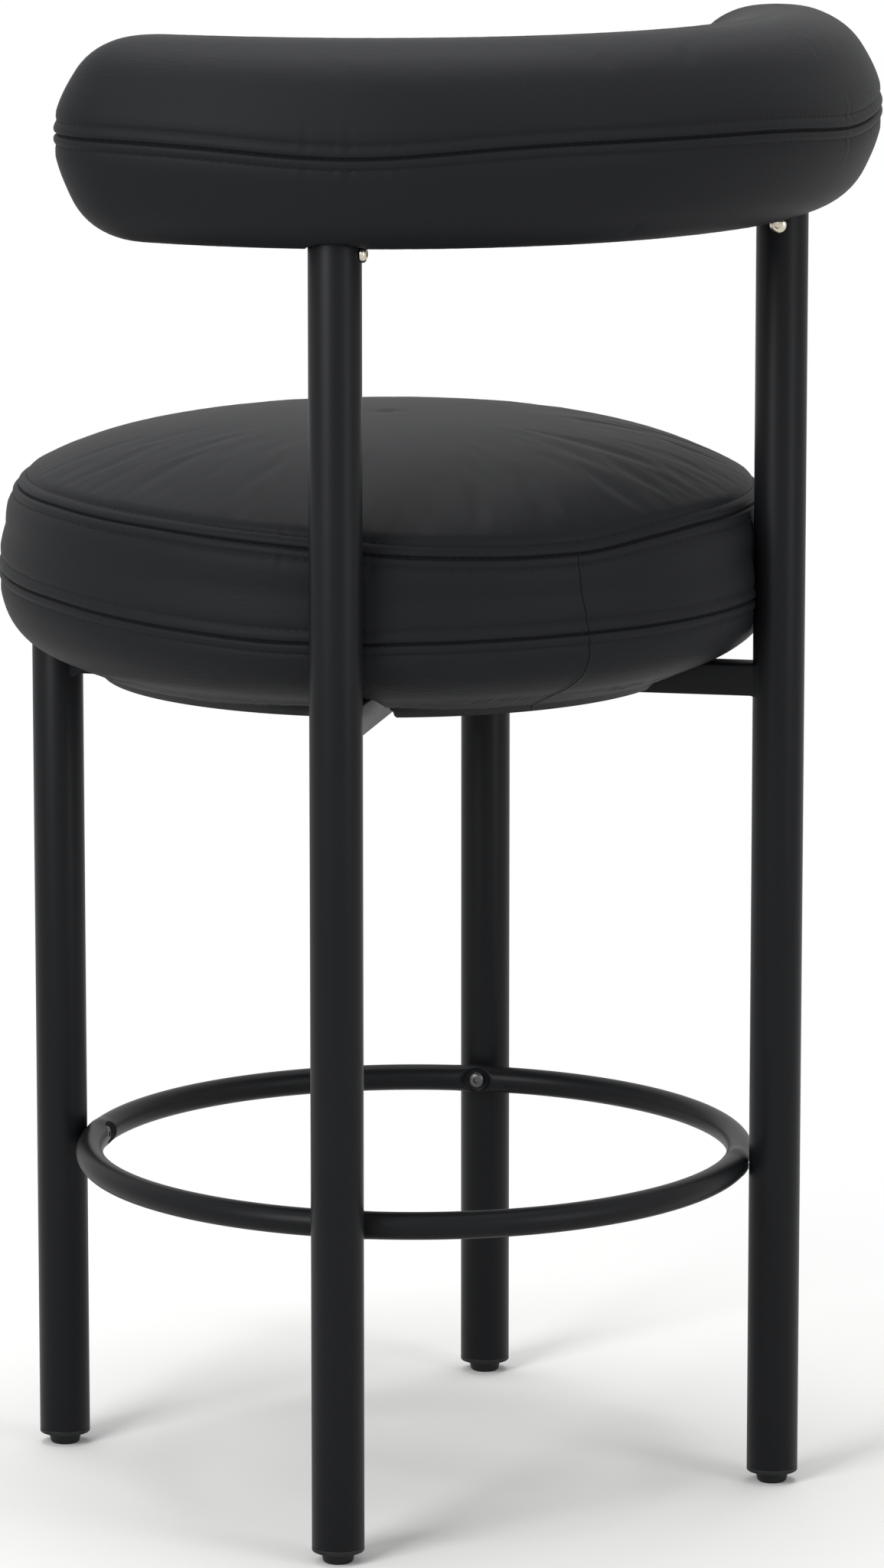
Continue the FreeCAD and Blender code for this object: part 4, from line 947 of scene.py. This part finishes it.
def seat_grid(columns, inset):
    """The seat's form in rows from the crown down, round the rim and back in over the board. Inset is how far the
    panels lie inside their seams. Gives the points, each row's distance to both seams, and to the closing seam."""
    radius, height = seat_profile()
    length = np.concatenate([[0], np.cumsum(np.hypot(np.diff(radius), np.diff(height)))])
    close_up = np.deg2rad(CLOSING_SEAM)
    turn = np.linspace(-math.pi, math.pi, columns, endpoint=False) + close_up
    # Columns crowd together beside the closing seam, so that its narrow valley shows.
    off = turn - close_up
    turn = close_up + off - 0.022 * np.tanh(off / 0.03) * np.exp(-(off / 0.12) ** 2)
    degrees = np.degrees(turn)
    upper = np.interp(-smooth_between(degrees, SEAT_UPPER_SEAM), -height[1:], length[1:])
    lower = np.interp(-smooth_between(degrees, SEAT_LOWER_SEAM), -height[1:], length[1:])
    edge = SEAM_ROWS[-1]
    blocks = [np.linspace(0, 1, TOP_ROWS)[:-1, None] * (upper - edge), upper + SEAM_ROWS[:, None]]
    between = np.linspace(0, 1, BAND_ROWS)[1:-1, None]
    blocks += [upper + edge + between * (lower - upper - 2 * edge), lower + SEAM_ROWS[:, None]]
    blocks += [lower + edge + np.linspace(0, 1, BASE_ROWS)[1:, None] * (length[-1] - lower - edge)]
    down = np.concatenate(blocks)
    ring = np.interp(down, length, radius)
    level = np.interp(down, length, height)
    to_upper, to_lower = down - upper, down - lower
    gap = np.minimum(np.abs(to_upper), np.abs(to_lower))
    fade = np.clip((length[-1] - down) / 0.02, 0, 1)
    share = np.clip(gap / 0.045, 0, 1)
    deep = inset * ease_in(share) * fade
    sway = np.clip(to_upper / (length[-1] - upper), 0, 1)
    angle = turn + np.deg2rad(CLOSING_SWAY) * np.cos(2 * math.pi * sway) * np.exp(-(off / 0.1) ** 2) * (to_upper > 0)
    points = np.stack([seat_x + ring * np.sin(angle), seat_y + ring * np.cos(angle), level], axis=2)
    points -= outward(points) * deep[:, :, None]
    tail_r = [RIM_RADIUS - ROLL_RADIUS * math.sin(t) for t in np.radians((18, 36, 54, 72, 90))]
    tail_z = [seat_bottom + ROLL_RADIUS * (1 - math.cos(t)) for t in np.radians((18, 36, 54, 72, 90))]
    under, over = board_low.z - BOARD_GAP, board_high.z + BOARD_GAP
    outside = board_radius + BOARD_GAP
    tail_r += [RIM_RADIUS - ROLL_RADIUS, outside, outside, outside / 2, 0]
    tail_z += [under, under, over, over, over]
    tail = np.stack([seat_x + np.outer(tail_r, np.sin(turn)), seat_y + np.outer(tail_r, np.cos(turn)),
                     np.outer(tail_z, np.ones(columns))], axis=2)
    to_close = off * ring
    return np.concatenate([points, tail]), to_upper, to_lower, to_close, len(down)


def lift_over(points, level, gap, soft):
    """Raises what hangs below a level where something stands under it. Gap is the distance outside its edge."""
    share = np.clip(1 - gap / soft, 0, 1)
    least = level - (1 - ease_in(share)) * LIFT_DEPTH
    points[..., 2] = np.where(gap < soft, np.maximum(points[..., 2], np.minimum(least, level)), points[..., 2])


def lift_over_legs(points, level, soft, *corners):
    """The same over round legs, whose tops are at that level."""
    for corner in corners:
        away = np.hypot(points[..., 0] - leg_axes[corner].x, points[..., 1] - leg_axes[corner].y)
        lift_over(points, level, np.maximum(away - LEG_RADIUS - SIDE_GAP, 0), soft)


def push_out(points, axis, radius):
    """Moves what comes nearer to an upright round post than a radius out to it."""
    flat = points[..., :2] - np.array(axis)[:2]
    away = np.linalg.norm(flat, axis=-1)
    wanted = radius + 0.5 * (away - radius + np.sqrt((away - radius) ** 2 + 2.5e-6))
    points[..., :2] = np.array(axis)[:2] + flat * (np.maximum(wanted, away) / np.maximum(away, 1e-9))[..., None]


def ripples(run, off, centre, pitch, depth, spread, reach):
    """A few puckers across a seam round one place, deepest next to the topstitching and gone at their reach."""
    wave = np.sin(2 * math.pi * (run - centre) / pitch) * hump(run, centre, spread)
    size = np.abs(off)
    envelope = np.clip((size - 0.002) / 0.005, 0, 1) * np.exp(-np.maximum(size - 0.008, 0) / reach)
    return depth * wave * envelope


start = seat_grid(BLOWN_COLUMNS, SEAT_SWELL)[0]
points, to_upper, to_lower, to_close, outside_rows = seat_grid(SEAT_COLUMNS, SEAT_SWELL)
true_points = seat_grid(SEAT_COLUMNS, 0)[0]
seam_row = [int(np.argmin(np.abs(distance[:, 0]))) for distance in (to_upper, to_lower)]
swell = swelling("seat_blown", start, true_points[seam_row].reshape(-1, 3)[::3], SEAT_SWELL + SPARE_SWELL)
if swell is None:
    points = true_points
else:
    points = points + carried(points, swell) * (np.linalg.norm(true_points - points, axis=2) > 0)[:, :, None]
normals = outward(points)
run = np.arctan2(points[..., 0] - seat_x, points[..., 1] - seat_y) * seat_radius
relief = PANEL_RISE * ((np.abs(to_upper) >= PANEL_FROM) & (np.abs(to_lower) >= PANEL_FROM))
for to_seam in (to_upper, to_lower):
    relief = relief + seam_relief(to_seam) * (np.abs(to_seam) < PANEL_FROM)
    relief += needle_dips(to_seam, run[:outside_rows])
closing = LIP_RISE / 2 * hump(np.abs(to_close), 0.003, 0.002) - CLOSING_DEPTH * hump(to_close, 0, CLOSING_WIDTH)
relief += closing * (to_upper > 0.0005)
for centre, depth in SEAT_PUCKERS:
    relief += ripples(run[:outside_rows], to_upper, math.radians(centre) * seat_radius, 0.010, depth, PUCKER_SPREAD,
                      0.007)
points[:outside_rows] += normals[:outside_rows] * relief[:, :, None]

bar_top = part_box("crossbar_main")[1].z
clear = bar_top + UNDER_GAP
for sign in (1, -1):
    across = np.abs(points[..., 0] - sign * points[..., 1]) / math.sqrt(2)
    beyond = np.maximum(np.abs(points[..., 0] + sign * points[..., 1]) / math.sqrt(2) - LEG_CIRCLE, 0)
    lift_over(points, clear, np.maximum(across - BAR_HALF - SIDE_GAP, 0) + 3 * beyond, 0.016)
lift_over_legs(points, clear, 0.014, "front_left", "front_right")
for corner in ("rear_left", "rear_right"):
    push_out(points, leg_axes[corner], LEG_RADIUS + POST_GAP)

creasing = np.zeros(points.shape[:2])
creasing[:outside_rows] = np.clip(to_upper / 0.02, 0, 1) * 0.9 + 0.1
LEATHER = faux_leather()
THREAD = sewing_thread()
rim_run = np.arange(SEAT_COLUMNS) / SEAT_COLUMNS * 2 * math.pi * seat_radius
cushion = sewn_mesh("seat_cushion", points, rim_run, along_rows(points), creasing)
belongs(cushion, "seat_cushion", LEATHER, "faux_leather", "frame",
        "seat_cover_top", "seat_cover_band", "seat_cover_base", "seat_foam")


def seam_lines(points, normals, row, offsets):
    """The loops of points and normals that lie at some distances from a seam's row."""
    found = []
    for offset in offsets:
        number = row + int(np.argmin(np.abs(SEAM_ROWS - offset))) - len(SEAM_ROWS) // 2
        found.append((closed(points[number]), closed(normals[number])))
    return found


rows = []
for row in seam_row:
    rows += seam_lines(points, normals, row, (TOPSTITCH_ABOVE, 0, TOPSTITCH_BELOW))
closing_column = int(np.argmin(np.abs(to_close[seam_row[0] + 8])))
below_seam = slice(seam_row[0] + 3, outside_rows)
rows.append((points[below_seam, closing_column], normals[below_seam, closing_column]))
seat_stitching = stitches("seat_stitching", [line for line, _ in rows], [up for _, up in rows])
belongs(seat_stitching, "seat_stitching", THREAD, "faux_leather", "frame")


# ---------------------------------------------------------------- backrest
# A fat bolster of foam round a bent steel tube, in a cover of an upper and a lower panel. One seam runs right round
# it, topstitched on both sides, and sags beside the posts, where the cover is pulled down over them.
BACK_POWER = 2.54
BACK_COLUMNS = 381
END_COLUMNS = 105
BACK_SAG = 0.0072
BACK_SWELL = 0.0045
BACK_SEAM_TOP = 0.862
BACK_DEPTH = 0.061
BACK_SWEEP = math.radians(128)
BACK_ROWS = 20
# Puckers across its seam, most of them beside the posts: degrees along the rear, and depth.
BACK_PUCKERS = ((23, 0.0002), (31, 0.00035), (36.5, 0.0005), (41, 0.00035), (-33, 0.00025), (-43, 0.0002),
                (4, 0.0001), (-17, 0.0001))


def bolster_grid(arc_columns, end_columns, inset):
    """The backrest's form in rows from its top ridge down to its bottom one, its columns in a loop: along the rear,
    round the left end, back along the front and round the right end."""
    half = BACK_SWEEP / 2
    rear = np.linspace(-half, half, arc_columns)
    rounding = np.linspace(0, math.pi, end_columns + 2)[1:-1]
    spine = np.concatenate([rear, np.full(end_columns, half), rear[::-1], np.full(end_columns, -half)])
    facing = np.concatenate([rear, half + rounding, rear[::-1] + math.pi, math.pi - half + rounding])
    turn = np.linspace(math.pi / 2, -math.pi / 2, 1601)
    deep = BACK_DEPTH * np.maximum(np.cos(turn), 0) ** (2 / BACK_POWER)
    tall = BACK_HALF * np.sign(np.sin(turn)) * np.abs(np.sin(turn)) ** (2 / BACK_POWER)
    deep[0] = deep[-1] = 0
    length = np.concatenate([[0], np.cumsum(np.hypot(np.diff(deep), np.diff(tall)))])
    degrees = np.degrees(spine)
    sag = BACK_SAG * (hump(degrees, 36, 15) + 0.75 * hump(degrees, -34, 13))
    seam_z = BACK_SEAM_TOP - sag * np.maximum(np.cos(facing - spine), 0.25) - BACK_MIDDLE
    seam = np.interp(-seam_z, -tall, length)
    edge = SEAM_ROWS[-1]
    above = np.linspace(0, 1, BACK_ROWS)[:-1, None] * (seam - edge)
    below = seam + edge + np.linspace(0, 1, BACK_ROWS)[1:, None] * (length[-1] - seam - edge)
    down = np.concatenate([above, seam + SEAM_ROWS[:, None], below])
    out = np.interp(down, length, deep)
    out[0] = out[-1] = 0
    level = np.interp(down, length, tall)
    to_seam = down - seam
    share = np.clip(np.abs(to_seam) / 0.04, 0, 1)
    ease = inset * ease_in(share)
    ridge = np.minimum(down, length[-1] - down)
    shrink_out = 1 - ease * np.clip(ridge / 0.03, 0, 1) / BACK_DEPTH
    shrink_up = 1 - ease / BACK_HALF
    x = np.sin(spine) * BACK_ARC + out * shrink_out * np.sin(facing)
    y = BACK_CENTRE + np.cos(spine) * BACK_ARC + out * shrink_out * np.cos(facing)
    z = BACK_MIDDLE + level * shrink_up
    return np.stack([x, y, z], axis=2), to_seam, degrees


cover_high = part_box("back_cover_upper")[1]
under_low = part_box("back_cover_lower")[0]
BACK_MIDDLE = (under_low.z + cover_high.z) / 2
BACK_HALF = (cover_high.z - under_low.z) / 2
BACK_ARC = (cover_high.x - BACK_DEPTH) / math.sin(BACK_SWEEP / 2)
BACK_CENTRE = cover_high.y - BACK_DEPTH - BACK_ARC
points, to_seam, degrees = bolster_grid(BACK_COLUMNS, END_COLUMNS, BACK_SWELL)
true_points = bolster_grid(BACK_COLUMNS, END_COLUMNS, 0)[0]
seam_at = int(np.argmin(np.abs(to_seam[:, 0])))
start = bolster_grid(96, 26, BACK_SWELL)[0]
swell = swelling("back_blown", start, true_points[seam_at][::3], BACK_SWELL + SPARE_SWELL)
if swell is None:
    points = true_points
else:
    points = points + carried(points, swell)
normals = outward(points)
steps = np.linalg.norm(np.diff(closed(true_points[seam_at]), axis=0), axis=1)
loop_run = np.concatenate([[0], np.cumsum(steps)[:-1]])
relief = seam_relief(to_seam) + needle_dips(to_seam, loop_run[None, :])
for centre, depth in BACK_PUCKERS:
    place = int(np.argmin(np.abs(degrees[:BACK_COLUMNS] - centre)))
    relief += ripples(loop_run[None, :], to_seam, loop_run[place], 0.0105, depth, PUCKER_SPREAD, 0.008)
ridges = np.ones(points.shape[0])
ridges[[0, -1]] = 0
points += normals * (relief * ridges[:, None])[:, :, None]
lift_over_legs(points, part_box("leg_rear_left")[1].z + POST_GAP, 0.004, "rear_left", "rear_right")

creasing = np.full(points.shape[:2], 0.55)
bolster = sewn_mesh("back_cushion", points, loop_run, along_rows(points), creasing)
belongs(bolster, "back_cushion", LEATHER, "faux_leather", "frame", "back_cover_upper", "back_cover_lower", "back_foam")
rows = seam_lines(points, normals, seam_at, (TOPSTITCH_ABOVE, 0, TOPSTITCH_BELOW))
back_stitching = stitches("back_stitching", [line for line, _ in rows], [up for _, up in rows])
belongs(back_stitching, "back_stitching", THREAD, "faux_leather", "frame")
refinish(POWDER, "back_rail", "back_stem_left", "back_stem_right")


# ---------------------------------------------------------------- backrest screws
# One nickel-plated pan-head screw on each post, just under the bolster, holds the backrest's stem in the tube.
BACK_HEAD_HEIGHT = 0.0034
BACK_SCREW_LENGTH = 0.012
NICKEL_SHADE = "bdb5a3"
NICKEL_SHINE = "d6cfbf"


def nickel_plate():
    """Nickel over steel: a warm silver with a soft shine and fine turning marks."""
    material, output = new_material("nickel_plated_steel")
    tree = material.node_tree
    _, wear, tone = mottle(tree, 700.0, 3.0, NICKEL_SHADE, NICKEL_SHINE)
    return surfaced(material, output, {
        "Base Color": tone, "Metallic": 1.0, "Roughness": between(tree, wear, 0.2, 0.32)})


NICKEL = nickel_plate()
low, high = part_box("back_screws")
screw_height = (low.z + high.z) / 2
pattern = socket_screw("back_screw_pattern", (high.z - low.z) / 2, BACK_HEAD_HEIGHT, BACK_SCREW_LENGTH)
for corner, facing_x in (("rear_right", 1), ("rear_left", -1)):
    facing = Vector((facing_x, 1, 0)).normalized()
    place = leg_axes[corner] + facing * LEG_RADIUS + Vector((0, 0, screw_height))
    screw = fit_copy(pattern, place, facing)
    belongs(screw, "back_screw_" + corner, NICKEL, "nickel_screws", "frame", "back_screws")
bpy.data.objects.remove(pattern)
